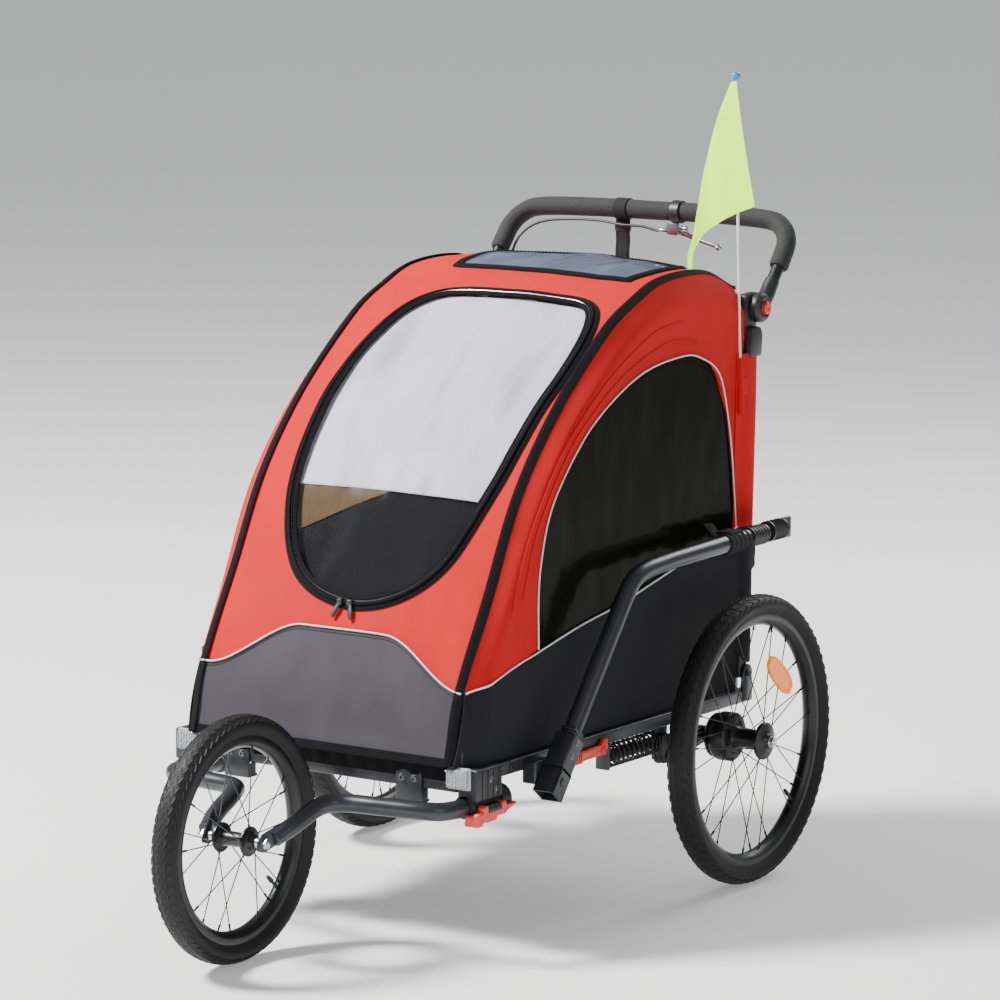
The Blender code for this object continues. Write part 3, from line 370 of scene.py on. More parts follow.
# The amber reflector's emission is a painted glow.
ORANGE_REFLECTOR = prismatic("orange_reflector", (0.95, 0.24, 0.004), pitch=0.004, Specular_IOR_Level=0.15,
                             Emission_Color=(1.0, 0.26, 0.0, 1.0), Emission_Strength=0.75)
WINDOW_FILM = film("window_film", (0.05, 0.05, 0.055), 0.035, 0.0014, (0.03, 0.03, 0.035), gloss=0.10)
# Side film: near-black tinted film whose olive cast is a painted reflection of green surroundings.
SIDE_FILM = film("side_film", (0.005, 0.006, 0.003), 0.98, 0.0005, (0.008, 0.010, 0.004), gloss=0.03)
# Roof film: dark, and its blue cast and pale blue streaks are painted sky reflection.
ROOF_FILM = film("roof_film", (0.016, 0.026, 0.055), 0.90, 0.010, (0.24, 0.31, 0.44), gloss=0.8)


def mesh_cloth(name, colour, hole=0.0035):
    """Open mesh: the weave's low places are see-through."""
    made = Finish(name, colour, 0.8, coordinates="UV", Specular_IOR_Level=0.15)
    net = made.axis("X").wave(hole) * made.axis("Y").wave(hole)
    made.feed("Alpha", 1.0 - net.above(0.35, 0.3) * 0.30)
    return made.bump(net, 0.0003)


# Tan mesh colour: painted sunlight on the cabin's inside, seen through the window.
PAINTED_SUNLIT_MESH = mesh_cloth("painted_sunlit_mesh", (0.115, 0.075, 0.036))
# Black mesh screen, kept nearly opaque so that it also stands for the shaded cabin behind it: partly real mesh,
# partly painted shade.
BLACK_MESH_AND_SHADE = mesh_cloth("black_mesh_and_painted_shade", (0.004, 0.004, 0.0045))

FLOOR_SIZE = 90.0
floor_bm = bmesh.new()
bmesh.ops.create_grid(floor_bm, x_segments=1, y_segments=1, size=FLOOR_SIZE)
floor_mesh = bpy.data.meshes.new("studio_floor")
floor_bm.to_mesh(floor_mesh)
floor_bm.free()
studio_floor = bpy.data.objects.new("studio_floor", floor_mesh)
floor_finish = Finish("studio_floor", (0.84, 0.835, 0.82), 0.85, Emission_Color=(1.0, 1.0, 1.0, 1.0),
                      Emission_Strength=0.26)
floor_mesh.materials.append(floor_finish.material)
bpy.context.collection.objects.link(studio_floor)
print("finishes:", len(bpy.data.materials))

# %% [markdown]
# ## Making and placing a piece
# A piece is a mesh whose object stays at the origin. `show` gives it its finish, hangs it on a body of the
# frame and hides the frame's plain solids that it stands for.


# %% Piece helpers
def mesh_object(name, bm):
    """A linked object from a bmesh."""
    mesh = bpy.data.meshes.new(name)
    bm.to_mesh(mesh)
    bm.free()
    made = bpy.data.objects.new(name, mesh)
    bpy.context.collection.objects.link(made)
    return made


def settle(made):
    """Apply the object's modifiers and its place, and leave a plain mesh at the origin."""
    bpy.context.view_layer.update()
    shaped = made.evaluated_get(bpy.context.evaluated_depsgraph_get())
    mesh = bpy.data.meshes.new_from_object(shaped)
    mesh.transform(made.matrix_world)
    made.modifiers.clear()
    made.matrix_world = Matrix.Identity(4)
    old = made.data
    made.data = mesh
    if isinstance(old, bpy.types.Mesh):
        bpy.data.meshes.remove(old)
    return made


def modified(made, kind, **settings):
    """Add one modifier with its settings and apply it."""
    step = made.modifiers.new(kind.lower(), kind)
    for key, value in settings.items():
        setattr(step, key, value)
    return settle(made)


def show(made, finish, body, nodes=(), sharp=38):
    """Finish a piece and hang it on its body."""
    made.data.materials.clear()
    made.data.materials.append(finish.material)
    made.data.shade_smooth()
    made.data.set_sharp_from_angle(angle=math.radians(sharp))
    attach(made, body)
    if nodes:
        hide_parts(*nodes)
    return made


def joined(name, parts):
    """Several meshes as one piece."""
    bm = bmesh.new()
    for part in parts:
        bm.from_mesh(part.data)
        bpy.data.objects.remove(part, do_unlink=True)
    return mesh_object(name, bm)


# %% [markdown]
# ## Basic solids
# Tubes are swept: a ring of points is carried along the route without twisting. Turned shapes repeat a profile
# round an axis along X. Blocks are bevelled, so that every edge catches the light.


# %% Sweep, turn and block
def smooth(points, steps, closed=False):
    """Points on a smooth curve through the given points."""
    pts = [Vector(p) for p in points]
    ends = pts[-1:] + pts + pts[:2] if closed else [2 * pts[0] - pts[1]] + pts + [2 * pts[-1] - pts[-2]]
    path = []
    for a, b, c, d in zip(ends, ends[1:], ends[2:], ends[3:]):
        for step in range(steps):
            t = step / steps
            path.append(0.5 * (2 * b + (c - a) * t + (2 * a - 5 * b + 4 * c - d) * t * t
                               + (3 * b - a - 3 * c + d) * t * t * t))
    return path if closed else path + [pts[-1]]


def sweep(name, path, radius, sides=20, flat=1.0, up=None):
    """A closed tube along a path. Radius is a number or a function of the share of the way along; flat
    squeezes the section along the carried normal."""
    path = [Vector(p) for p in path]
    bm = bmesh.new()
    layer = bm.loops.layers.uv.new("UVMap")
    tangents = [(path[min(i + 1, len(path) - 1)] - path[max(i - 1, 0)]).normalized() for i in range(len(path))]
    normal = Vector(up) if up else tangents[0].orthogonal()
    rings, travelled, run = [], 0.0, []
    for index, (point, tangent) in enumerate(zip(path, tangents)):
        normal = (normal - tangent * normal.dot(tangent)).normalized()
        side = tangent.cross(normal)
        size = radius(index / (len(path) - 1)) if callable(radius) else radius
        travelled += (point - path[index - 1]).length if index else 0.0
        run.append(travelled)
        rings.append([bm.verts.new(point + (normal * math.cos(t) * flat + side * math.sin(t)) * size)
                      for t in (2 * math.pi * k / sides for k in range(sides))])
    girth = 2 * math.pi * (radius(0.5) if callable(radius) else radius)
    for row in range(len(rings) - 1):
        for k in range(sides):
            near, far = rings[row], rings[row + 1]
            face = bm.faces.new((near[k], near[(k + 1) % sides], far[(k + 1) % sides], far[k]))
            places = ((k, row), (k + 1, row), (k + 1, row + 1), (k, row + 1))
            for loop, (across, along) in zip(face.loops, places):
                loop[layer].uv = (girth * across / sides, run[along])
    bm.faces.new(list(reversed(rings[0])))
    bm.faces.new(rings[-1])
    bmesh.ops.recalc_face_normals(bm, faces=bm.faces)
    return mesh_object(name, bm)


def turn(name, profile, centre, steps=64):
    """A closed profile of (radius, place along X) turned about X through a centre."""
    bm = bmesh.new()
    rings = []
    for step in range(steps):
        angle = 2 * math.pi * step / steps
        rings.append([bm.verts.new(Vector(centre) + Vector((along, r * math.cos(angle), r * math.sin(angle))))
                      for r, along in profile])
    count = len(profile)
    for near, far in zip(rings, rings[1:] + rings[:1]):
        for k in range(count):
            bm.faces.new((near[k], near[(k + 1) % count], far[(k + 1) % count], far[k]))
    bmesh.ops.remove_doubles(bm, verts=bm.verts, dist=1e-6)
    bmesh.ops.delete(bm, geom=[edge for edge in bm.edges if not edge.link_faces], context="EDGES")
    bmesh.ops.recalc_face_normals(bm, faces=bm.faces)
    return mesh_object(name, bm)


def block(name, low, high, bevel=0.002, segments=3):
    """A box between two corners with round edges."""
    low, high = Vector(low), Vector(high)
    bm = bmesh.new()
    bmesh.ops.create_cube(bm, size=1.0)
    bmesh.ops.scale(bm, vec=high - low, verts=bm.verts)
    bmesh.ops.translate(bm, vec=(low + high) / 2, verts=bm.verts)
    return modified(mesh_object(name, bm), "BEVEL", width=bevel, segments=segments)


def bar(name, radius, start, end, sides=24, bevel=0.0008):
    """A round bar between two points with softened ends."""
    start, end = Vector(start), Vector(end)
    bm = bmesh.new()
    bmesh.ops.create_cone(bm, cap_ends=True, segments=sides, radius1=radius, radius2=radius,
                          depth=(end - start).length)
    turned = (end - start).to_track_quat("Z", "Y").to_matrix().to_4x4()
    bmesh.ops.transform(bm, matrix=Matrix.Translation((start + end) / 2) @ turned, verts=bm.verts)
    return modified(mesh_object(name, bm), "BEVEL", width=bevel, segments=2, limit_method="ANGLE",
                    angle_limit=math.radians(50))


def loft(name, rows, closed=False, hole=None):
    """Quads between rows of points, with a UV map in metres. Closed joins each row's ends, and hole(row,
    column) leaves a quad out."""
    bm = bmesh.new()
    layer = bm.loops.layers.uv.new("UVMap")
    grid = [[bm.verts.new(p) for p in row] for row in rows]
    down = [0.0]
    for above_row, row in zip(rows, rows[1:]):
        half = len(row) // 2
        down.append(down[-1] + (Vector(row[half]) - Vector(above_row[half])).length)
    widths = []
    for row in rows:
        run = [0.0]
        for a, b in zip(row, row[1:]):
            run.append(run[-1] + (Vector(b) - Vector(a)).length)
        widths.append([w - run[-1] / 2 for w in run])
    count = len(rows[0])
    for r in range(len(rows) - 1):
        for k in range(count if closed else count - 1):
            if hole and hole(r, k):
                continue
            n = (k + 1) % count
            face = bm.faces.new((grid[r][k], grid[r][n], grid[r + 1][n], grid[r + 1][k]))
            for loop, (row, column) in zip(face.loops, ((r, k), (r, n), (r + 1, n), (r + 1, k))):
                loop[layer].uv = (widths[row][column], down[row])
    bmesh.ops.delete(bm, geom=[v for v in bm.verts if not v.link_faces], context="VERTS")
    return mesh_object(name, bm)


def sheet_of(name, rows, thickness, outward, closed=False, hole=None):
    """A loft with an even thickness below it. Outward is a direction its faces should look towards."""
    made = loft(name, rows, closed, hole)
    made.data.update()
    facing = sum((face.normal * face.area for face in made.data.polygons), Vector())
    if facing.dot(Vector(outward)) < 0:
        made.data.flip_normals()
    return modified(made, "SOLIDIFY", thickness=thickness, offset=-1.0)


# %% [markdown]
# ## Growing what repeats
# Two Geometry Nodes trees make everything that repeats. One turns copies of an item about a wheel's axle. The
# other sets copies along a path, such as the stitches of a seam or the teeth of a zip.


# %% Geometry Nodes trees
class Grower:
    """A Geometry Nodes tree with named inputs."""

    def __init__(self, name, inputs):
        self.tree = bpy.data.node_groups.new(name, "GeometryNodeTree")
        self.tree.interface.new_socket("Geometry", in_out="INPUT", socket_type="NodeSocketGeometry")
        for label, kind in inputs.items():
            self.tree.interface.new_socket(label, in_out="INPUT", socket_type="NodeSocket" + kind)
        self.tree.interface.new_socket("Geometry", in_out="OUTPUT", socket_type="NodeSocketGeometry")
        self.inputs = self.tree.nodes.new("NodeGroupInput").outputs
        self.end = self.tree.nodes.new("NodeGroupOutput").inputs["Geometry"]

    def node(self, kind, settings=None, sockets=None):
        made = self.tree.nodes.new(kind)
        for key, value in (settings or {}).items():
            setattr(made, key, value)
        for key, value in (sockets or {}).items():
            if isinstance(value, bpy.types.NodeSocket):
                self.tree.links.new(value, made.inputs[key])
            else:
                made.inputs[key].default_value = value
        return made.outputs

    def close(self, points, rotation):
        """Put the item on the points, move the lot to its centre, realise it and give it its finish."""
        item = self.node("GeometryNodeObjectInfo", sockets={"Object": self.inputs["Item"]})
        copies = self.node("GeometryNodeInstanceOnPoints", sockets={
            "Points": points, "Instance": item["Geometry"], "Rotation": rotation})
        moved = self.node("GeometryNodeTransform", sockets={"Geometry": copies[0],
                                                            "Translation": self.inputs["Centre"]})
        real = self.node("GeometryNodeRealizeInstances", sockets={0: moved[0]})
        dressed = self.node("GeometryNodeSetMaterial", sockets={"Geometry": real[0],
                                                                "Material": self.inputs["Finish"]})
        self.tree.links.new(dressed[0], self.end)
        return self.tree


def ring_tree():
    """Copies of an item turned about the X axis."""
    grower = Grower("ring_of_copies", {"Item": "Object", "Count": "Int", "Centre": "Vector",
                                       "Finish": "Material"})
    points = grower.node("GeometryNodePoints", sockets={"Count": grower.inputs["Count"]})
    index = grower.node("GeometryNodeInputIndex")
    turn_each = grower.node("ShaderNodeMath", {"operation": "DIVIDE"},
                            {0: 2 * math.pi, 1: grower.inputs["Count"]})
    angle = grower.node("ShaderNodeMath", {"operation": "MULTIPLY"}, {0: index[0], 1: turn_each[0]})
    rotation = grower.node("ShaderNodeCombineXYZ", sockets={"X": angle[0]})
    return grower.close(points[0], rotation[0])


def path_tree():
    """Copies of an item along the object's own polyline, a set distance apart."""
    grower = Grower("copies_along_path", {"Item": "Object", "Spacing": "Float", "Centre": "Vector",
                                          "Finish": "Material"})
    curve = grower.node("GeometryNodeMeshToCurve", sockets={"Mesh": grower.inputs["Geometry"]})
    points = grower.node("GeometryNodeCurveToPoints", {"mode": "LENGTH"},
                         {"Curve": curve[0], "Length": grower.inputs["Spacing"]})
    return grower.close(points["Points"], points["Rotation"])


RING_TREE, PATH_TREE = ring_tree(), path_tree()


def grow(made, tree, finish, **values):
    """Run a tree on an object and leave the result as a plain mesh."""
    step = made.modifiers.new("grow", "NODES")
    step.node_group = tree
    values["Finish"] = finish.material
    for socket in tree.interface.items_tree:
        if socket.in_out == "INPUT" and socket.name in values:
            step[socket.identifier] = values[socket.name]
    return settle(made)


def ring_of(name, item, count, centre, finish):
    """A ring of copies of an item modelled about the origin; the item itself is removed."""
    made = grow(mesh_object(name, bmesh.new()), RING_TREE, finish, Item=item, Count=count,
                Centre=tuple(centre))
    bpy.data.objects.remove(item, do_unlink=True)
    return made


def row_of(name, item, path, spacing, finish):
    """A row of copies of an item along a path."""
    bm = bmesh.new()
    points = [bm.verts.new(p) for p in path]
    for a, b in zip(points, points[1:]):
        bm.edges.new((a, b))
    made = grow(mesh_object(name, bm), PATH_TREE, finish, Item=item, Spacing=spacing, Centre=(0, 0, 0))
    bpy.data.objects.remove(item, do_unlink=True)
    return made


def pill(name, length, width):
    """A small lozenge along Z: one stitch, or one tooth."""
    bm = bmesh.new()
    bmesh.ops.create_cone(bm, cap_ends=True, segments=6, radius1=width / 2, radius2=width / 2, depth=length)
    return mesh_object(name, bm)


def stitches(name, path, finish, body, spacing=0.007, length=0.0045, width=0.0011):
    """A line of stitches lying on a seam."""
    item = pill("stitch", length, width)
    return show(row_of(name, item, path, spacing, finish), finish, body)


print("trees:", [tree.name for tree in (RING_TREE, PATH_TREE)])

# %% [markdown]
# ## The cover
# The cover is one sheet stretched over the front hoop. A place on it is (x, s): x across, and s along its
# side view from the sill. `cover_point` turns that into a point with the crown that tension gives the cloth.

# %% Cover surface
COVER_PROFILE = ((-0.720, 0.330), (-0.695, 0.420), (-0.614, 0.565), (-0.533, 0.715), (-0.422, 0.842),
                 (-0.277, 0.957), (-0.187, 1.002), (-0.097, 1.031), (0.039, 1.034), (0.138, 1.001))
COVER_HALF, COVER_CROWN, COVER_WALL = 0.260, 0.018, 0.0016
profile_line = smooth([(0, y, z) for y, z in COVER_PROFILE], 10)
profile_run = [0.0]
for a, b in zip(profile_line, profile_line[1:]):
    profile_run.append(profile_run[-1] + (b - a).length)
COVER_LENGTH = profile_run[-1]


def smoothstep(value, low, high):
    t = max(0.0, min(1.0, (value - low) / (high - low)))
    return t * t * (3 - 2 * t)


def profile_at(s):
    """Place and direction of the cover's side view at a distance s from the sill."""
    index = 1
    while index < len(profile_run) - 1 and profile_run[index] < s:
        index += 1
    a, b = profile_line[index - 1], profile_line[index]
    t = (s - profile_run[index - 1]) / (profile_run[index] - profile_run[index - 1])
    near = profile_line[max(index - 2, 0)]
    far = profile_line[min(index + 1, len(profile_line) - 1)]
    return a.lerp(b, t), (far - near).normalized()


def ripple(x, s, depth=0.0016, seed=0.0):
    """Slow creases that run down the cloth."""
    return depth * (noise.noise(Vector((x * 11, s * 4.5, seed))) + 0.5 * noise.noise(Vector((x * 27, s * 12,
                                                                                             seed))))


def cover_point(x, s, lift=0.0, crease=0.0016):
    here, along = profile_at(s)
    crown = COVER_CROWN * (1 - (x / COVER_HALF) ** 2) * smoothstep(s, -0.02, 0.24)
    raised = crown + lift + ripple(x, s, crease) * smoothstep(COVER_HALF - abs(x), 0.0, 0.05)
    return at(x, here.y - along.z * raised, here.z + along.y * raised)


print(f"cover: {COVER_LENGTH:.3f} m from sill to rear edge")

# %% [markdown]
# ## Two openings
# The window is an egg shape closed by a zip, and the roof pane is nearly a rectangle. Their outlines are given
# on the sheet. The cloth's cut edge runs under the middle of the zip band, where the real one is sewn too.

# %% Openings
WINDOW = ((0.035, 0.205), (0.083, 0.218), (0.130, 0.248), (0.171, 0.296), (0.199, 0.362), (0.222, 0.450),
          (0.231, 0.525), (0.236, 0.600), (0.243, 0.680), (0.241, 0.760), (0.230, 0.812), (0.208, 0.848),
          (0.175, 0.866), (0.120, 0.869), (0.022, 0.866), (-0.074, 0.862), (-0.126, 0.838), (-0.162, 0.790),
          (-0.186, 0.710), (-0.200, 0.609), (-0.197, 0.509), (-0.189, 0.429), (-0.175, 0.366),
          (-0.152, 0.303), (-0.118, 0.255), (-0.072, 0.224), (-0.014, 0.207))
ROOF_WINDOW = ((-0.120, 0.938), (0.040, 0.933), (0.195, 0.940), (0.216, 0.962), (0.222, 1.035),
               (0.216, 1.112), (0.195, 1.132), (0.040, 1.138), (-0.120, 1.132), (-0.145, 1.112),
               (-0.150, 1.035), (-0.145, 0.962))
ZIP_WIDTH, ROOF_BAND = 0.024, 0.015
window_loop = [p.xy for p in smooth([(x, s, 0) for x, s in WINDOW], 6, closed=True)]
roof_loop = [p.xy for p in smooth([(x, s, 0) for x, s in ROOF_WINDOW], 6, closed=True)]


def moved_in(loop, distance):
    """A closed outline moved towards its inside."""
    moved = []
    for index, point in enumerate(loop):
        way = (loop[(index + 1) % len(loop)] - loop[index - 1]).normalized()
        moved.append(point + Vector((-way.y, way.x)) * distance)
    return moved


def inside(loop, x, s):
    """Whether a place on the sheet is inside an outline."""
    odd = False
    for (ax, ay), (bx, by) in zip(loop, loop[1:] + loop[:1]):
        if (ay > s) != (by > s) and x < (bx - ax) * (s - ay) / (by - ay) + ax:
            odd = not odd
    return odd


def span_at(loop, s):
    """Where a line across the sheet enters and leaves an outline."""
    cuts = [ax + (bx - ax) * (s - ay) / (by - ay)
            for (ax, ay), (bx, by) in zip(loop, loop[1:] + loop[:1]) if (ay > s) != (by > s)]
    return min(cuts), max(cuts)


def pane_rows(loop, low, high, rows, columns, lift, crease):
    """Rows of points that fill an outline between two heights on the sheet."""
    made = []
    for row in range(rows + 1):
        s = low + (high - low) * row / rows
        left, right = span_at(loop, s)
        made.append([cover_point(left + (right - left) * k / columns, s, lift, crease)
                     for k in range(columns + 1)])
    return made


print("window outline:", len(window_loop), "points")

# %% [markdown]
# ## Red cloth, grey panel and their seams
# The seam between the two sags in the middle, and a reflective piping is caught in it. The grey panel ends in
# a black hem below the sill. Charcoal tape binds both long edges.


# %% Cover cloth
COVER_EDGE = 0.2565
SILL = -0.022
COLUMNS = 110


def seam(x):
    """Where the grey panel meets the red cloth."""
    return 0.091 + 0.077 * (1 - smoothstep(abs(x - 0.01), 0.08, 0.25))


def cover_rows(low, high, rows, edge=COVER_EDGE):
    """Lattice of places between two heights, each a function of x."""
    xs = [-edge + 2 * edge * k / COLUMNS for k in range(COLUMNS + 1)]
    return [[(x, low(x) + (high(x) - low(x)) * row / rows) for x in xs] for row in range(rows + 1)]


def on_cover(lattice, lift=0.0):
    return [[cover_point(x, s, lift) for x, s in row] for row in lattice]


zip_middle, roof_middle = moved_in(window_loop, ZIP_WIDTH / 2), moved_in(roof_loop, ROOF_BAND / 2)
red_lattice = cover_rows(lambda x: seam(x), lambda x: COVER_LENGTH, 210)


def opening(row, column):
    x, s = ((a + b) / 2 for a, b in zip(red_lattice[row][column], red_lattice[row + 1][column + 1]))
    return inside(zip_middle, x, s) or inside(roof_middle, x, s)


OUT = (0, -1, 1)
show(sheet_of("cover_red_cloth", on_cover(red_lattice), COVER_WALL, OUT, hole=opening),
     RED_CLOTH, "front_hoop", ("front_cover",))
grey_lattice = cover_rows(lambda x: SILL, lambda x: seam(x) + 0.004, 44)
show(sheet_of("cover_grey_panel", on_cover(grey_lattice, 0.0012), COVER_WALL, OUT),
     GREY_CLOTH, "front_hoop", ("front_cover",))
hem_lattice = cover_rows(lambda x: SILL - 0.002, lambda x: SILL + 0.012, 3)
show(sheet_of("cover_hem", on_cover(hem_lattice, 0.0030), 0.0022, OUT), BINDING, "front_hoop",
     ("front_cover",))

skirt = [[at(-0.241 + 0.482 * k / 90, y - 0.003 * math.sin(k * 0.9) * (1 - t) + ripple(k * 0.05, t, 0.002), z)
          for k in range(91)] for t, y, z in ((0, -0.7235, 0.312), (0.3, -0.7215, 0.302), (0.6, -0.7175, 0.292),
                                              (1, -0.7145, 0.282))]
show(sheet_of("front_skirt", skirt, 0.0014, (0, -1, 0)), BINDING, "chassis")

seam_path = [cover_point(x, seam(x) + 0.003, 0.0035) for x, _ in red_lattice[0]]
show(sweep("seam_piping", seam_path, 0.0016, 10), PIPING, "front_hoop")
stitches("seam_stitches", [cover_point(x, seam(x) - 0.004, 0.0018) for x, _ in red_lattice[0]],
         SIDE_CLOTH, "front_hoop")
for label, side in SIDES:
    steps = [SILL + (COVER_LENGTH - SILL) * k / 150 for k in range(151)]
    edge = [cover_point(side * (COVER_EDGE - 0.003), s, 0.0012) for s in steps]
    show(sweep(f"edge_binding_{label}", edge, 0.0092, 16, flat=0.22, up=(side * 0.45, -1, 0.2)), BINDING,
         "front_hoop", ("front_cover",))
    stitches(f"edge_stitches_{label}", [cover_point(side * (COVER_EDGE - 0.0055), s, 0.0042) for s in steps],
             SIDE_CLOTH, "front_hoop")

# %% [markdown]
# ## Zip bands and panes
# The zip band is a ring of tape on the sheet with a ridge of teeth along its middle and a line of stitches near
# each edge. Under it hangs the pane: glossy film outside, a pale sunshade and a black mesh behind it, and in
# one lower corner of the mesh a tan patch that is painted sunlight on the cabin's inside.


# %% Window and roof pane
def band(name, loop, width, lift, body, nodes=()):
    """A ring of tape inside an outline, domed a little across its width."""
    rings = [moved_in(loop, width * k / 6) for k in range(7)]
    rows = [[cover_point(x, s, lift + 0.0016 * math.sin(math.pi * k / 6)) for x, s in ring]
            for k, ring in enumerate(rings)]
    return show(sheet_of(name, rows, 0.0016, OUT, closed=True), BINDING, body, nodes)


def loop_path(loop, distance, lift):
    ring = moved_in(loop, distance)
    return [cover_point(x, s, lift) for x, s in ring + ring[:1]]


band("window_zip_band", window_loop, ZIP_WIDTH, 0.0018, "front_hoop", ("front_cover",))
band("roof_pane_band", roof_loop, ROOF_BAND, 0.0018, "front_hoop", ("front_cover",))
show(sweep("zip_cover_ridge", loop_path(window_loop, ZIP_WIDTH * 0.46, 0.0038), 0.0030, 10), BINDING,
     "front_hoop")
for label, loop, distance in (("window_outer", window_loop, 0.0035), ("window_inner", window_loop, 0.0205),
                              ("roof_outer", roof_loop, 0.003), ("roof_inner", roof_loop, 0.012)):
    stitches(f"stitches_{label}", loop_path(loop, distance, 0.0034), SIDE_CLOTH, "front_hoop")
tooth = pill("tooth", 0.0022, 0.0022)
show(row_of("zip_teeth", tooth, loop_path(window_loop, ZIP_WIDTH * 0.66, 0.0040), 0.0034, DARK_STEEL),
     DARK_STEEL, "front_hoop")

pane_loop = moved_in(window_loop, ZIP_WIDTH * 0.8)
pane_low, pane_high = min(p.y for p in pane_loop) + 0.002, max(p.y for p in pane_loop) - 0.002
SHADE_EDGE = 0.418
show(sheet_of("window_pane", pane_rows(pane_loop, pane_low, pane_high, 110, 60, 0.0006, 0.0026), 0.0007, OUT),
     WINDOW_FILM, "window_flap", ("window_flap",))
show(sheet_of("window_sunshade", pane_rows(pane_loop, SHADE_EDGE, pane_high, 60, 40, -0.0055, 0.0040), 0.0010,
              OUT), SHADE_CLOTH, "window_flap", ("window_flap",))
shade_left, shade_right = span_at(pane_loop, SHADE_EDGE)
hem_path = [cover_point(shade_left + (shade_right - shade_left) * k / 40, SHADE_EDGE, -0.0058)
            for k in range(41)]
show(sweep("sunshade_hem", hem_path, 0.0035, 10, flat=0.5, up=(0, -1, 0.5)), SHADE_CLOTH, "window_flap")
# The black mesh hides the cabin behind the window; its darkness is partly painted shade.
show(sheet_of("window_mesh", pane_rows(pane_loop, pane_low, SHADE_EDGE + 0.02, 40, 40, -0.0100, 0.002), 0.0006,
              OUT), BLACK_MESH_AND_SHADE, "window_flap", ("window_flap",))
# A tan patch of mesh in one lower corner of the window: painted sunlight on the cabin's inside.
MESH_FOOT, MESH_REACH = 0.336, 0.215
sunlit_patch_rows = []
for t in (k / 20 for k in range(21)):
    height = MESH_FOOT + (SHADE_EDGE + 0.012 - MESH_FOOT) * t
    left = span_at(pane_loop, height)[0]
    sunlit_patch_rows.append([cover_point(left + (0.004 + MESH_REACH * t) * k / 24, height, -0.0078, 0.002)
                        for k in range(25)])
show(sheet_of("window_tan_corner", sunlit_patch_rows, 0.0006, OUT), PAINTED_SUNLIT_MESH, "window_flap")
roof_pane = moved_in(roof_loop, ROOF_BAND * 0.7)
show(sheet_of("roof_pane", pane_rows(roof_pane, min(p.y for p in roof_pane) + 0.001,
                                     max(p.y for p in roof_pane) - 0.001, 44, 60, 0.0006, 0.004), 0.0007,
              (0, 0, 1)), ROOF_FILM, "front_hoop")

for label, x, s, lean in (("left", 0.013, 0.2145, 1), ("right", -0.007, 0.2150, -1)):
    base = cover_point(x, s, 0.0065)
    down = (cover_point(x + 0.006 * lean, s - 0.020, 0.0055) - base).normalized()
    slider = block("slider", base + Vector((-0.005, -0.003, -0.005)), base + Vector((0.005, 0.002, 0.005)),
                   0.0015)
    puller = sweep("puller", [base + down * (0.004 + 0.024 * k / 8) for k in range(9)],
                   lambda t: 0.0032 + 0.0014 * math.sin(math.pi * t), 10, flat=0.45, up=(0, -1, 0))
    show(joined(f"zip_pull_{label}", (slider, puller)), BLACK_PLASTIC, "front_hoop")

# %% [markdown]
# ## Side fabric
# Each side is sewn from four pieces. A red band turns the corner from the cover to the side, a dark glossy
# pane fills the middle, a near-black panel closes the bottom, and a red strip follows the rear upright.

# %% Side outlines
SIDE_X, SIDE_FULL, HOOP_CLEAR_X = 0.285, 0.0016, 0.2590
PANE_TOP = ((-0.519, 0.470), (-0.521, 0.552), (-0.513, 0.616), (-0.485, 0.694), (-0.412, 0.775),
            (-0.336, 0.833), (-0.213, 0.887), (-0.085, 0.905), (-0.019, 0.897), (0.042, 0.863), (0.075, 0.782),
            (0.091, 0.711), (0.107, 0.592))
PANEL_TOP = ((-0.693, 0.420), (-0.606, 0.446), (-0.519, 0.464), (-0.395, 0.489), (-0.266, 0.509),
             (-0.080, 0.549), (0.118, 0.592))
RAIL_LINE = 0.3065
SLEEVE = ((0.2866, 0.096), (0.2895, 0.115), (0.2935, 0.130), (0.2945, 0.146), (0.2900, 0.1575),
          (0.2790, 0.1640), (0.2620, 0.1645))
SLEEVE_FOOT, SLEEVE_MIDDLE, SLEEVE_TOP = 0.352, 0.592, 0.892
FOOT_SLANT = 0.75                                # the sleeve's foot is cut back, clear of the rail in the fold


def spread(points, count):
    """Evenly spaced places along a smooth line of (y, z)."""
    line = smooth([(0, *p) for p in points], 12)
    run = [0.0]
    for a, b in zip(line, line[1:]):
        run.append(run[-1] + (b - a).length)
    made, index = [], 1
    for step in range(count + 1):
        s = run[-1] * step / count
        while index < len(run) - 1 and run[index] < s:
            index += 1
        made.append(line[index - 1].lerp(line[index], (s - run[index - 1]) / (run[index] - run[index - 1])))
    return made


def side_point(side, gap, y, z, crease=0.0012):
    """A point of the side fabric, which bulges out over the hoop within a few centimetres of the edge."""
    x = HOOP_CLEAR_X + (SIDE_X - HOOP_CLEAR_X) * smoothstep(gap, -0.010, 0.050)
    x += ripple(y, z, crease, seed=3.0 + side) * smoothstep(gap, 0.0, 0.05)
    return at(side * x, y, z)


ALONG, DEEP = 120, 14
edge_points = []
for step in range(ALONG + 1):
    here, _ = profile_at(0.096 + (COVER_LENGTH - 0.104) * step / ALONG)
    edge_points.append(here)
print("side band:", len(edge_points), "places along the cover's edge")

# %% [markdown]
# When the frame folds, the real side fabric crumples down between the rails. The pieces that hang on the
# chassis each get their own copy of their mesh, and the sleeves go with the uprights they wrap.


# %% Side pieces
def crumple(piece, side=0):
    """Give a fabric piece its own copy of its mesh."""
    tuple(at(side * SIDE_X, 0, RAIL_LINE))
    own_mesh(piece)
    return piece


def piping(name, points, body, radius=0.0015):
    return show(sweep(name, points, radius, 10), PIPING, body)


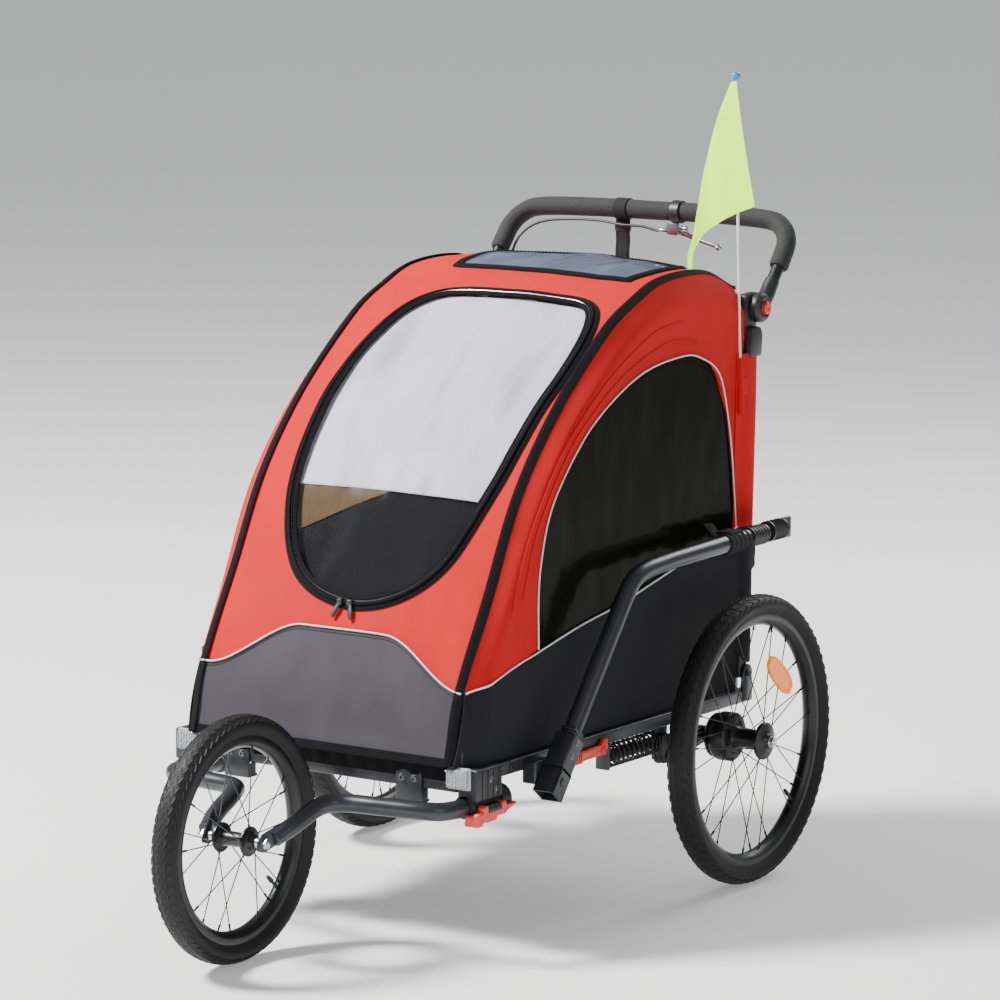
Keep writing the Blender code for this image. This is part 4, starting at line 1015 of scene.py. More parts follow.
for label, side in SIDES:
    outward = (side, 0, 0)
    node = f"side_panel_{label}"
    inner = spread(PANE_TOP, ALONG)
    rows = []
    for t in ((d / DEEP) ** 1.5 for d in range(DEEP + 1)):
        rows.append([side_point(side, (b - a).length * t, *a.lerp(b, t).yz) for a,
                     b in zip(edge_points, inner)])
    crumple(show(sheet_of(f"side_band_{label}", rows, SIDE_FULL, outward), RED_CLOTH, "chassis"), side)

    for name, share in (("upper", 0.36), ("lower", 0.62)):
        line = [side_point(side, (b - a).length * share, *a.lerp(b, share).yz) + Vector((side * 0.0006, 0, 0))
                for a, b in zip(edge_points, inner)][12:-30]
        crumple(show(sweep(f"side_band_seam_{name}_{label}", line, 0.0009, 8), RED_CLOTH, "chassis"), side)
    bottom = spread(((-0.519, 0.468), (-0.395, 0.488), (-0.266, 0.508), (-0.080, 0.548), (0.107, 0.590)), ALONG)
    pane = [[side_point(side, 1.0, *a.lerp(b, d / 16).yz, 0.0013) - Vector((side * 0.002, 0, 0))
             for a, b in zip(bottom, inner)] for d in range(17)]
    crumple(show(sheet_of(f"side_pane_{label}", pane, 0.0009, outward), SIDE_FILM, "chassis",
                 (node,)), side)

    top = spread(PANEL_TOP, ALONG)
    panel = []
    for t in (d / 16 for d in range(17)):
        row = []
        for p in top:
            z = p.z + 0.003 + (RAIL_LINE - p.z - 0.003) * t
            forward = ((z - 0.330) * 0.278 - 0.027) * (1 - smoothstep(p.y, -0.693, -0.600))
            row.append(side_point(side, 0.08 * smoothstep(p.y, -0.700, -0.620), p.y + forward, z)
                       + Vector((side * 0.004 * math.sin(math.pi * t), 0, 0)))
        panel.append(row)
    crumple(show(sheet_of(f"side_lower_panel_{label}", panel, SIDE_FULL, outward), SIDE_CLOTH, "chassis",
                 (node,)), side)

    around = [p.xy for p in smooth([(x, y, 0) for x, y in SLEEVE], 5)]
    for part, low, high, finish, slot in (("lower", SLEEVE_FOOT, SLEEVE_MIDDLE, SIDE_CLOTH, "dark_fabric"),
                                          ("upper", SLEEVE_MIDDLE, SLEEVE_TOP, RED_CLOTH, "red_fabric")):
        sleeve = []
        for share in (d / 40 for d in range(41)):
            row = []
            for x, y in around:
                foot = low + (FOOT_SLANT * max(0.0, 0.140 - y) if part == "lower" else 0.0)
                z = foot + (high - foot) * share
                row.append(at(side * (x + ripple(y, z, 0.0008, side)), y + 0.010 * (z - SLEEVE_FOOT), z))
            sleeve.append(row)
        show(sheet_of(f"side_sleeve_{part}_{label}", sleeve, SIDE_FULL, outward), finish, "rear_frame",
             (node,))

    lift = Vector((side * 0.0018, 0, 0))
    crumple(piping(f"pane_piping_{label}", [side_point(side, 1.0, p.y, p.z) + lift for p in inner], "chassis"),
            side)
    crumple(piping(f"panel_piping_{label}", [side_point(side, 0.08 * smoothstep(p.y, -0.700, -0.620), p.y,
                                                        p.z + 0.002) + lift for p in top], "chassis"), side)
    crumple(stitches(f"pane_stitches_{label}",
                     [side_point(side, 1.0, p.y, p.z - 0.010) + lift * 0.6 for p in inner[6:-6]], BINDING,
                     "chassis"), side)

# %% [markdown]
# ## Wheels
# A spoked wheel is the textbook case for copies round an axle. The tyre's casing and the rim are turned, and
# tread blocks, spokes and nipples are rings of copies. Spokes leave the flanges leaning forwards and
# backwards in turn, as they are laced.

# %% Wheel sizes
TYRE_DEPTH, RIM_DEPTH, RIM_HALF = 0.037, 0.017, 0.014
FRONT_SPOKES, REAR_SPOKES = 5, 7
TREAD_BLOCKS = 72


def half_ring(radius, flat, turns, start, end):
    """Points of a rounded section as (radius, along) round the tyre's crown."""
    return [(radius + flat * math.cos(a), TYRE_WIDTH / 2 * math.sin(a))
            for a in (math.radians(start + (end - start) * k / turns) for k in range(turns + 1))]


def tyre_casing(name, radius, centre):
    """Tyre section: round crown, soft shoulders and two moulded lines on each wall."""
    middle_radius = radius - TYRE_DEPTH / 2
    crown = half_ring(middle_radius, TYRE_DEPTH / 2 - 0.0022, 24, -118, 118)
    lined = []
    for r, along in crown:
        step = 0.0007 if abs(r - middle_radius - 0.002) < 0.0016 else 0.0
        lined.append((r, along + math.copysign(step, along) if step else along))
    bead = radius - TYRE_DEPTH + 0.001
    return turn(name, [(bead, -0.0125)] + lined + [(bead, 0.0125)], centre, 96)


def tread(name, radius, centre):
    """Road tread: low curved ridges from each shoulder, half a step apart, and a ridge round the crown."""
    rows = []
    pitch = 2 * math.pi / TREAD_BLOCKS
    crown = radius - TYRE_DEPTH / 2
    reach = TYRE_DEPTH / 2 - 0.0022
    for side, shift in ((1, 0.0), (-1, 0.5)):
        for start, end, curve, size in ((66, 30, 0.012, 0.0017), (30, 4, -0.010, 0.0019)):
            path = []
            for k in range(7):
                angle = math.radians(start + (end - start) * k / 6)
                turned = shift * pitch + curve * math.sin(math.pi * k / 6) / radius * 1.2
                lifted = crown + (reach - 0.0002) * math.cos(angle)
                path.append(Vector((side * TYRE_WIDTH / 2 * math.sin(angle), lifted * math.sin(turned),
                                    lifted * math.cos(turned))))
            rows.append(ring_of("tread_row", sweep("ridge", path, size, 6, flat=0.45, up=(0, 0, 1)),
                                TREAD_BLOCKS,
                                centre, TYRE))
    return joined(name, rows)


def spoke_set(name, centre, flange, flange_radius, rim_radius, count, sides=7):
    """All spokes with their nipples: four rings, one for each flange and way of leaning."""
    rings = []
    quarter = math.pi / count / 2
    for side in (1, -1):
        for way in (1, -1):
            start = Vector((flange[0 if side > 0 else 1], 0, flange_radius))
            end = Vector((side * 0.0045, math.sin(0.42 * way) * rim_radius, math.cos(0.42) * rim_radius))
            along = (end - start).normalized()
            spoke = sweep("spoke", [start, end], 0.0010, sides)
            nipple = sweep("nipple", [end - along * 0.012, end - along * 0.001], lambda t: 0.0021 - 0.0006 * t,
                           sides)
            head = sweep("head", [start - Vector((0.004 * side, 0, 0)), start + Vector((0.001 * side, 0, 0))],
                         0.0019, sides)
            item = joined("item", (spoke, nipple, head))
            turned = quarter * (0.5 if way > 0 else -0.5) + (quarter if side < 0 else 0)
            item.data.transform(Matrix.Rotation(turned, 4, "X"))
            rings.append(ring_of("spoke_ring", item, count, centre, BLACK_PAINT))
    return joined(name, rings)


def rim_section(radius):
    """Deep box section with a brake track and a hook at each lip."""
    lip, base = radius - TYRE_DEPTH, radius - TYRE_DEPTH - RIM_DEPTH
    half = [(lip + 0.0035, RIM_HALF - 0.0022), (lip + 0.0035, RIM_HALF - 0.0005), (lip + 0.002, RIM_HALF),
            (lip - 0.0075, RIM_HALF), (lip - 0.0085, RIM_HALF - 0.0006), (base + 0.0030, RIM_HALF * 0.62),
            (base, RIM_HALF * 0.30)]
    outer = half + [(r, -x) for r, x in reversed(half)]
    well = [(lip - 0.004, -RIM_HALF + 0.0030), (lip - 0.007, -0.004), (lip - 0.007, 0.004),
            (lip - 0.004, RIM_HALF - 0.0030)]
    return outer + well


print("tread ridges on each wheel:", 4 * TREAD_BLOCKS, "spokes:", 4 * REAR_SPOKES, 4 * FRONT_SPOKES)

# %% [markdown]
# Each wheel is built at its own hub by one function, so the three differ only in the sizes passed in.

# %% Building the three wheels
def rounded(profile, edge=0.0008):
    """Cut the corners of an open turned profile a little, so that its edges catch light."""
    made = [profile[0]]
    for before, here, after in zip(profile, profile[1:], profile[2:]):
        here2, b2, a2 = Vector(here), Vector(before), Vector(after)
        for other in (b2, a2):
            gap = (other - here2).length
            made.append(tuple(here2 + (other - here2) * min(edge / gap, 0.45)))
    return made + [profile[-1]]


REAR_HUB = ((0.0055, 0.3215), (0.038, 0.3215), (0.042, 0.3295), (0.042, 0.3515), (0.036, 0.3555),
            (0.020, 0.3570), (0.0165, 0.3700), (0.0165, 0.3900), (0.018, 0.4020), (0.032, 0.4080),
            (0.032, 0.4140), (0.014, 0.4180), (0.010, 0.4240), (0.0055, 0.4240))
FRONT_HUB = ((0.0055, -0.040), (0.011, -0.040), (0.013, -0.033), (0.015, -0.0300), (0.024, -0.0290),
             (0.024, -0.0250), (0.0140, -0.0230), (0.0120, -0.012), (0.0120, 0.012), (0.0140, 0.0230),
             (0.024, 0.0250), (0.024, 0.0290), (0.015, 0.0300), (0.013, 0.033), (0.011, 0.040),
             (0.0055, 0.040))


def valve(name, radius, centre):
    """Valve stem with its cap, standing in from the rim's bed."""
    foot = radius - TYRE_DEPTH - RIM_DEPTH + 0.002
    way = Vector((0, math.sin(2.3), math.cos(2.3)))
    start = Vector(centre)
    stem = sweep("stem", [start + way * foot, start + way * (foot - 0.022)], 0.0027, 12)
    cap = sweep("cap", [start + way * (foot - 0.020 - 0.014 * k / 6) for k in range(7)],
                lambda t: 0.0040 - 0.0012 * t * t, 12)
    return joined(name, (stem, cap))


def build_wheel(label, body, radius, centre, hub, flanges, spokes, nodes):
    centre = Vector(centre)
    tyre_node, rim_node, hub_node = nodes
    casing = joined(f"{label}_tyre_casing", (tyre_casing("casing", radius, centre),
                                             tread("tread", radius, centre)))
    show(casing, TYRE, body, (tyre_node,))
    show(turn(f"{label}_rim_ring", rim_section(radius), centre, 96), BLACK_RIM, body,
         (rim_node,))
    show(spoke_set(f"{label}_spokes", centre, flanges[:2], flanges[2], radius - TYRE_DEPTH - RIM_DEPTH + 0.002,
                   spokes), BLACK_PAINT, body, (hub_node,))
    show(turn(f"{label}_hub_shell", rounded(hub), centre, 48), BLACK_ALLOY, body, (hub_node,))
    show(valve(f"{label}_valve", radius, centre), BLACK_PLASTIC, body)


BLACK_RIM = powder_coat("black_rim", (0.009, 0.009, 0.010), (0.03, 0.03, 0.032))
BLACK_ALLOY = powder_coat("black_alloy", (0.010, 0.010, 0.011), (0.03, 0.03, 0.032))
for label, side in SIDES:
    centre = Vector((side * HALF_TRACK, REAR_AXLE_Y, REAR_RADIUS))
    hub = [(r, side * (x - HALF_TRACK)) for r, x in REAR_HUB]
    inner, outer = side * (0.3540 - HALF_TRACK), side * (0.4110 - HALF_TRACK)
    flanges = (outer, inner, 0.0285) if side > 0 else (inner, outer, 0.0285)
    build_wheel(label, f"wheel_{label}", REAR_RADIUS, centre, hub, flanges, REAR_SPOKES,
                (f"{label}_tyre", f"{label}_rim", f"{label}_hub"))
front_centre = Vector((0, REAR_AXLE_Y - WHEELBASE, FRONT_RADIUS))
build_wheel("front", "front_wheel", FRONT_RADIUS, front_centre, FRONT_HUB, (0.027, -0.027, 0.0205),
            FRONT_SPOKES,
            ("front_tyre", "front_rim", "front_hub"))

# %% [markdown]
# Each rear wheel carries an oval amber reflector clipped between its spokes.


# %% Wheel reflectors
def reflector_plate(name, centre, half_long, half_short, depth, lean, side):
    """A domed oval with a raised rim, leaning in the wheel's plane."""
    bm = bmesh.new()
    rings = []
    for share, rise in ((0.0, 1.0), (0.35, 0.95), (0.62, 0.78), (0.80, 0.62), (0.86, 0.95), (0.96, 0.92),
                        (1.0, 0.55), (1.0, -1.0), (0.0, -1.0)):
        ring = []
        for k in range(40):
            angle = 2 * math.pi * k / 40
            power = 0.78
            u = half_long * share * math.copysign(abs(math.cos(angle)) ** power, math.cos(angle))
            v = half_short * share * math.copysign(abs(math.sin(angle)) ** power, math.sin(angle))
            ring.append(bm.verts.new(Vector(centre) + Vector((
                side * depth * rise, u * math.cos(lean) - v * math.sin(lean),
                u * math.sin(lean) + v * math.cos(lean)))))
        rings.append(ring)
    for near, far in zip(rings, rings[1:]):
        for k in range(40):
            bm.faces.new((near[k], near[(k + 1) % 40], far[(k + 1) % 40], far[k]))
    bmesh.ops.remove_doubles(bm, verts=bm.verts, dist=0.00001)
    bmesh.ops.recalc_face_normals(bm, faces=bm.faces)
    return mesh_object(name, bm)


for label, side in SIDES:
    place = middle(f"{label}_wheel_reflector") - Vector((0, 0.030, 0))
    show(reflector_plate(f"{label}_amber_reflector", place, 0.0500, 0.0190, 0.003, math.radians(-40), side),
         ORANGE_REFLECTOR, f"wheel_{label}", (f"{label}_wheel_reflector",))
    clip_low, clip_high = place - Vector((0.0046, 0.006, 0.006)), place + Vector((0.0020, 0.006, 0.006))
    show(block(f"{label}_reflector_clip", clip_low, clip_high, 0.0015), BLACK_PLASTIC, f"wheel_{label}")

# %% [markdown]
# ## Frame tubes
# Every round tube is swept along the route its bender would follow. Tube ends get a plastic plug, and the
# joints get real bolts: a washer, a domed head and a socket.

# %% Routes
FORK_ROUTE = ((0.068, -0.936, 0.206), (0.077, -0.890, 0.226), (0.085, -0.840, 0.244), (0.108, -0.808, 0.247),
              (0.170, -0.795, 0.247), (0.235, -0.781, 0.246), (0.262, -0.762, 0.244), (0.272, -0.726, 0.243))
FORK_END = (0.272, -0.632, 0.243)
FORK_R, TUBE_R, TOW_R, FOAM_R = 0.0148, 0.011, 0.0150, 0.017
TOW_X = 0.340
TOW_ROUTE = ((0.340, -0.345, 0.534), (0.340, -0.318, 0.560), (0.340, -0.280, 0.573), (0.340, -0.200, 0.579))
TOW_FOOT, TOW_END = (0.340, -0.530, 0.300), (0.340, 0.110, 0.588)
BAR_ROUTE = ((0.288, 0.196, 0.986), (0.288, 0.222, 1.016), (0.288, 0.247, 1.047), (0.285, 0.268, 1.074),
             (0.268, 0.283, 1.096), (0.233, 0.292, 1.108), (0.120, 0.295, 1.112), (0.0, 0.295, 1.112))


def bolt(side, x, y, z, radius=0.006, head=0.004):
    """A washer and a domed socket-head bolt looking outwards along X."""
    out = [(0.0, 0.0), (radius * 1.35, 0.0), (radius * 1.35, 0.0011), (radius, 0.0012), (radius, head * 0.7),
           (radius * 0.8, head), (radius * 0.42, head), (radius * 0.40, head * 0.4), (0.0, head * 0.4)]
    return turn("bolt", [(r, side * along) for r, along in out], at(side * x, y, z), 24)


def placed(points):
    return [at(*p) for p in points]


def mirrored_route(points):
    return list(points) + [(-x, y, z) for x, y, z in reversed(points[:-1])]

# %% [markdown]
# Each fork arm is a bent tube with a flattened, slotted end, and the axle runs between the two ends.

# %% Fork arms and front axle
for label, side in SIDES:
    route = smooth([(side * x, y, z) for x, y, z in FORK_ROUTE], 10) + [Vector((side * FORK_END[0],
                                                                                 *FORK_END[1:]))]
    arm = sweep("arm", placed(route), lambda t: FORK_R * (0.80 + 0.20 * smoothstep(t, 0.0, 0.10)), 28)
    flattened = smooth([(side * 0.072, -0.905, 0.220), (side * 0.064, -0.925, 0.211),
                        (side * 0.0555, -0.943, 0.202), (side * 0.0535, -0.964, 0.193)], 6)
    end = sweep("end", placed(flattened),
                lambda t: 0.0158 * math.sqrt(max(0.05, 1 - smoothstep(t, 0.72, 1.02))),
                24, flat=0.34, up=(1, 0, 0))
    show(joined(f"fork_arm_tube_{label}", (arm, end)), PAINT, "chassis",
         (f"fork_arm_{label}",))
    cap = sweep("end_cap", placed([(side * 0.272, -0.634, 0.243), (side * 0.272, -0.6285, 0.243)]), 0.0132, 28)
    show(modified(cap, "BEVEL", width=0.001, segments=2, limit_method="ANGLE", angle_limit=0.8),
         BLACK_PLASTIC, "chassis").name = f"fork_end_plug_{label}"

axle_parts = [bar("spindle", 0.0048, at(-0.072, -WHEELBASE, FRONT_RADIUS), at(0.066, -WHEELBASE, FRONT_RADIUS))]
for side in (1, -1):
    axle_parts.append(sweep("nut", [at(side * (0.0566 + 0.0062 * k / 3), -WHEELBASE, FRONT_RADIUS)
                                    for k in range(4)], 0.0088, 6))
    axle_parts.append(bar("washer", 0.0098, at(side * 0.0562, -WHEELBASE, FRONT_RADIUS),
                          at(side * 0.0572, -WHEELBASE, FRONT_RADIUS)))
    axle_parts.append(bar("cone", 0.0085, at(side * 0.0410, -WHEELBASE, FRONT_RADIUS),
                          at(side * 0.0495, -WHEELBASE, FRONT_RADIUS)))
show(joined("front_axle_set", axle_parts), STEEL, "chassis", ("front_axle",))

# %% [markdown]
# ## Tow arm
# The tow arm is parked along the left side. A square socket joins it to the frame, a strap holds it up to the
# body, and the coupler at its end is a ribbed rubber block with a steel tongue.

# %% Tow arm, strap and coupler
tow_path = placed([TOW_FOOT] + [tuple(p) for p in smooth(TOW_ROUTE, 8)] + [TOW_END])
tow_tube = sweep("tube", tow_path, TOW_R, 32)
tow_way = Vector((0.0, 0.185, 0.234)).normalized()
tow_pivot = at(TOW_X, -0.555, 0.268)
socket_turn = Matrix.Translation(tow_pivot) @ tow_way.to_track_quat("Z", "X").to_matrix().to_4x4()


def turned_block(name, low, high, matrix, bevel):
    made = block(name, low, high, bevel)
    made.data.transform(matrix)
    return made


walls = []
for across_x, across_y, wide, deep in ((0.0158, 0, 0.0018, 0.0190), (-0.0158, 0, 0.0018, 0.0190),
                                       (0, 0.0172, 0.0176, 0.0018), (0, -0.0172, 0.0176, 0.0018)):
    walls.append(turned_block("wall", (across_x - wide, across_y - deep, -0.028),
                              (across_x + wide, across_y + deep, 0.020), socket_turn, 0.0006))
body_block = turned_block("body", (-0.0176, -0.019, 0.012), (0.0176, 0.019, 0.082), socket_turn, 0.0035)
collar = turned_block("collar", (-0.0155, -0.0155, 0.086), (0.0155, 0.0155, 0.095), socket_turn, 0.005)
show(joined("tow_arm_tube", (tow_tube, body_block, collar, *walls)), PAINT, "tow_arm",
     ("tow_arm",))
socket_bolts = []
for along in (0.045, 0.070):
    place = tow_pivot + tow_way * along
    socket_bolts.append(bolt(1, TOW_X + 0.017, place.y - REAR_AXLE_Y, place.z, 0.0048, 0.0032))
show(joined("tow_socket_bolts", socket_bolts), DARK_STEEL, "tow_arm")

strap_path = [at(TOW_X, -0.024 + 0.066 * k / 20, 0.5835) for k in range(21)]
strap = sweep("loop", strap_path, lambda t: 0.0172 + 0.0009 * math.sin(9 * math.pi * t), 36)
tail = sweep("tail", placed([(0.324, -0.004, 0.588), (0.312, -0.002, 0.596), (0.302, 0.0, 0.604),
                             (0.2925, 0.002, 0.612)]), 0.013, 12, flat=0.12, up=(0.5, 0, 1))
buckle = block("buckle", at(0.318, -0.014, 0.5975), at(0.347, 0.030, 0.6035), 0.002)
flap = sweep("flap", placed([(0.352, 0.036, 0.590), (0.3560, 0.040, 0.578), (0.3555, 0.044, 0.562),
                             (0.351, 0.050, 0.546), (0.347, 0.058, 0.533)]), 0.013, 12, flat=0.14, up=(1, 0, 0))
show(joined("tow_stow_strap", (strap, tail, buckle, flap)), WEBBING, "tow_arm", ("stow_strap",))
boot = sweep("boot", [at(TOW_X, 0.052 + 0.057 * k / 40, 0.5862) for k in range(41)],
             lambda t: 0.0172 + 0.0008 * math.sin(12 * math.pi * t) - 0.004 * smoothstep(t, 0.93, 1.0), 32)
show(boot, BLACK_PLASTIC, "tow_arm").name = "tow_arm_boot"


def ribbed(t):
    """Radius along the coupler's rubber body."""
    return 0.0182 - 0.0026 * (0.5 + 0.5 * math.cos(t * 2 * math.pi * 7)) * smoothstep(0.5 - abs(t - 0.5),
                                                                                      0.02, 0.2)


sleeve = sweep("sleeve", [at(TOW_X, 0.120 + 0.050 * k / 70, 0.588) for k in range(71)], ribbed, 32)
neck = sweep("neck", [at(TOW_X, 0.114, 0.588), at(TOW_X, 0.121, 0.588)], 0.0095, 20)
tongue = block("tongue", at(TOW_X - 0.004, 0.158, 0.570), at(TOW_X + 0.004, 0.200, 0.606), 0.0022)
eye = turn("eye", [(0.0060, -0.0052), (0.0105, -0.0052), (0.0105, 0.0052), (0.0060, 0.0052)],
           at(TOW_X, 0.186, 0.588), 28)
show(joined("hitch_coupler_body", (sleeve, neck, tongue, eye)), BLACK_PLASTIC, "hitch_coupler",
     ("hitch_coupler",))
print("tow arm and coupler done")

# %% [markdown]
# ## Rails, brackets and bolts
# The chassis is square tube, cast corners and pressed plates. Plates are drawn as outlines in the side view
# and bevelled, so their edges shine as pressed steel does, and every joint gets its bolt.


# %% Plates
def plate(name, outline, x_from, x_to, bevel=0.0012):
    """A (y, z) outline made into a plate between two x places, in the frame."""
    bm = bmesh.new()
    face = bm.faces.new([bm.verts.new(at(x_from, y, z)) for y, z in outline])
    pushed = bmesh.ops.extrude_face_region(bm, geom=[face])
    verts = [v for v in pushed["geom"] if isinstance(v, bmesh.types.BMVert)]
    bmesh.ops.translate(bm, vec=(x_to - x_from, 0, 0), verts=verts)
    bmesh.ops.recalc_face_normals(bm, faces=bm.faces)
    return modified(mesh_object(name, bm), "BEVEL", width=bevel, segments=2, limit_method="ANGLE",
                    angle_limit=math.radians(30))


def side_block(side, name, xs, ys, zs, bevel=0.002):
    """A bevelled block on one side of the trailer."""
    low, high = sorted((side * xs[0], side * xs[1]))
    return block(name, at(low, ys[0], zs[0]), at(high, ys[1], zs[1]), bevel)


def disc_outline(y, z, radius, start=0, end=360, steps=16):
    return [(y + radius * math.cos(math.radians(a)), z + radius * math.sin(math.radians(a)))
            for a in (start + (end - start) * k / steps for k in range(steps + (end - start < 360)))]

# %% [markdown]
# Square rails run front to back, with castings at the corners and a tube across each end.

# %% Rails and crossbars
for label, side in SIDES:
    rail = side_block(side, "rail", (0.274, 0.296), (-0.640, 0.160), (0.283, 0.305), 0.0028)
    ear_outline = [(0.124, 0.286), (0.156, 0.286)] + disc_outline(0.140, 0.334, 0.0155, 0, 180, 12)
    ears = [plate("ear", ear_outline, side * 0.2636, side * 0.2685),
            plate("ear", ear_outline, side * 0.2915, side * 0.2970)]
    hanger = plate("hanger", [(-0.147, 0.292), (-0.103, 0.292), (-0.107, 0.226)]
                   + disc_outline(-0.125, 0.229, 0.0125, -20, -160, 8) + [(-0.143, 0.226)],
                   side * 0.2745, side * 0.2822)
    seat = side_block(side, "seat", (0.2700, 0.2960), (-0.315, -0.309), (0.238, 0.288), 0.0018)
    parts = [rail, *ears, hanger, seat, bolt(side, 0.2968, 0.140, 0.335, 0.0065, 0.0045),
             bolt(side, 0.2960, -0.610, 0.294, 0.0045, 0.003), bolt(side, 0.2960, -0.560, 0.294, 0.0045, 0.003)]
    if side > 0:
        parts.append(side_block(side, "tow_bracket", (0.2945, 0.3212), (-0.577, -0.533), (0.2625, 0.3000),
                                0.0035))
        parts.append(bar("tow_pin", 0.0052, at(0.300, -0.555, 0.268), at(0.362, -0.555, 0.268)))
        parts.append(bolt(1, 0.3572, -0.555, 0.268, 0.0075, 0.0045))
    show(joined(f"rail_{label}", parts), PAINT, "chassis", (f"side_rail_{label}",))

    casting = side_block(side, "casting", (0.2600, 0.3000), (-0.712, -0.6403), (0.2535, 0.3060), 0.0045)
    ribs = [side_block(side, "rib", (0.2995, 0.3015), (y, y + 0.003), (0.2570, 0.3020), 0.0006)
            for y in (-0.700, -0.684, -0.668, -0.652)]
    ear = plate("ear", [(-0.711, 0.298), (-0.689, 0.298)] + disc_outline(-0.700, 0.326, 0.011, 0, 180, 12),
                side * 0.2626, side * 0.2685, 0.001)
    receiver = sweep("receiver", placed([(side * 0.272, y, 0.243) for y in (-0.712, -0.708, -0.690, -0.660,
                                                                              -0.604, -0.600)]),
                     lambda t: 0.0195 - 0.0012 * smoothstep(abs(t - 0.5), 0.3, 0.5), 36)
    show(joined(f"corner_casting_{label}", (casting, *ribs, ear, receiver)), BLACK_PLASTIC, "chassis",
         (f"corner_bracket_{label}",))
    show(joined(f"corner_bolts_{label}", [bolt(side, 0.3002, y, z, 0.0045, 0.0028)
                                          for y, z in ((-0.676, 0.286), (-0.660, 0.270))]),
         DARK_STEEL, "chassis")

show(block("front_cross_tube", at(-0.2597, -0.712, 0.265), at(0.2597, -0.688, 0.292), 0.0035), PAINT, "chassis",
     ("front_crossbar",))
show(block("rear_cross_tube", at(-0.2632, 0.129, 0.284), at(0.2632, 0.151, 0.304), 0.003), PAINT, "chassis",
     ("rear_crossbar",))
show(block("floor_cloth", at(-0.2550, -0.685, 0.2922), at(0.2550, 0.128, 0.2970), 0.0020), SIDE_CLOTH,
     "chassis", ("floor_panel",))

# %% [markdown]
# Two folded hook plates are bolted to the front tube, with a ribbed clear reflector outside each one.

# %% Hook plates and front reflectors
FACE_Y = -0.7123


def front_bolt(x, y, z, radius=0.0055):
    """A bolt turned to face forwards. It is made at the axle, brought to the origin, spun and then placed."""
    made = bolt(1, 0, 0, 0, radius, 0.0042)
    spin = Matrix.Rotation(math.radians(-90), 4, "Z")
    made.data.transform(Matrix.Translation(-at(0, 0, 0)))
    made.data.transform(Matrix.Translation(at(x, y, z)) @ spin)
    return made


for label, side in SIDES:
    low, high = sorted((side * 0.145, side * 0.195))
    hook = block("hook", at(low, -0.7166, 0.240), at(high, FACE_Y, 0.294), 0.0018)
    wall_in = side_block(side, "wall", (0.145, 0.149), (FACE_Y, -0.696), (0.2405, 0.2635), 0.0012)
    wall_out = side_block(side, "wall", (0.191, 0.195), (FACE_Y, -0.696), (0.2405, 0.2635), 0.0012)
    lip = side_block(side, "lip", (0.145, 0.195), (-0.7155, -0.692), (0.2402, 0.2450), 0.0014)
    show(joined(f"hook_plate_{label}", (hook, wall_in, wall_out, lip)), PAINT, "chassis",
         (f"fork_hook_{label}",))
    show(joined(f"hook_bolts_{label}", [front_bolt(side * x, -0.7165, 0.280, 0.0050) for x in (0.158, 0.182)]),
         DARK_STEEL, "chassis")
    low, high = sorted((side * 0.244, side * 0.288))
    lens = block("lens", at(low + 0.0022, -0.7250, 0.2745), at(high - 0.0022, -0.7155, 0.3055), 0.0028, 4)
    show(lens, CLEAR_REFLECTOR, "chassis",
         (f"front_reflector_{label}",)).name = f"front_lens_{label}"
    ribs = [block("rib", at(low + 0.004 + 0.0052 * k, -0.7257, 0.2765),
                  at(low + 0.0062 + 0.0052 * k, -0.7240, 0.3035),
                  0.0004, 1) for k in range(8)]
    show(joined(f"front_lens_ribs_{label}", ribs), CLEAR_REFLECTOR, "chassis")
    show(block(f"front_lens_shell_{label}", at(low, -0.7185, 0.2722), at(high, -0.7123, 0.3080), 0.0022),
         SHELL_GREY, "chassis")

# %% [markdown]
# ## Suspension and locks
# Behind each wheel's backplate a pressed arm swings on the rail and bears on a black coil spring. The red
# parts are the ones a parent has to touch: two clips on the fork sockets and two fold locks.

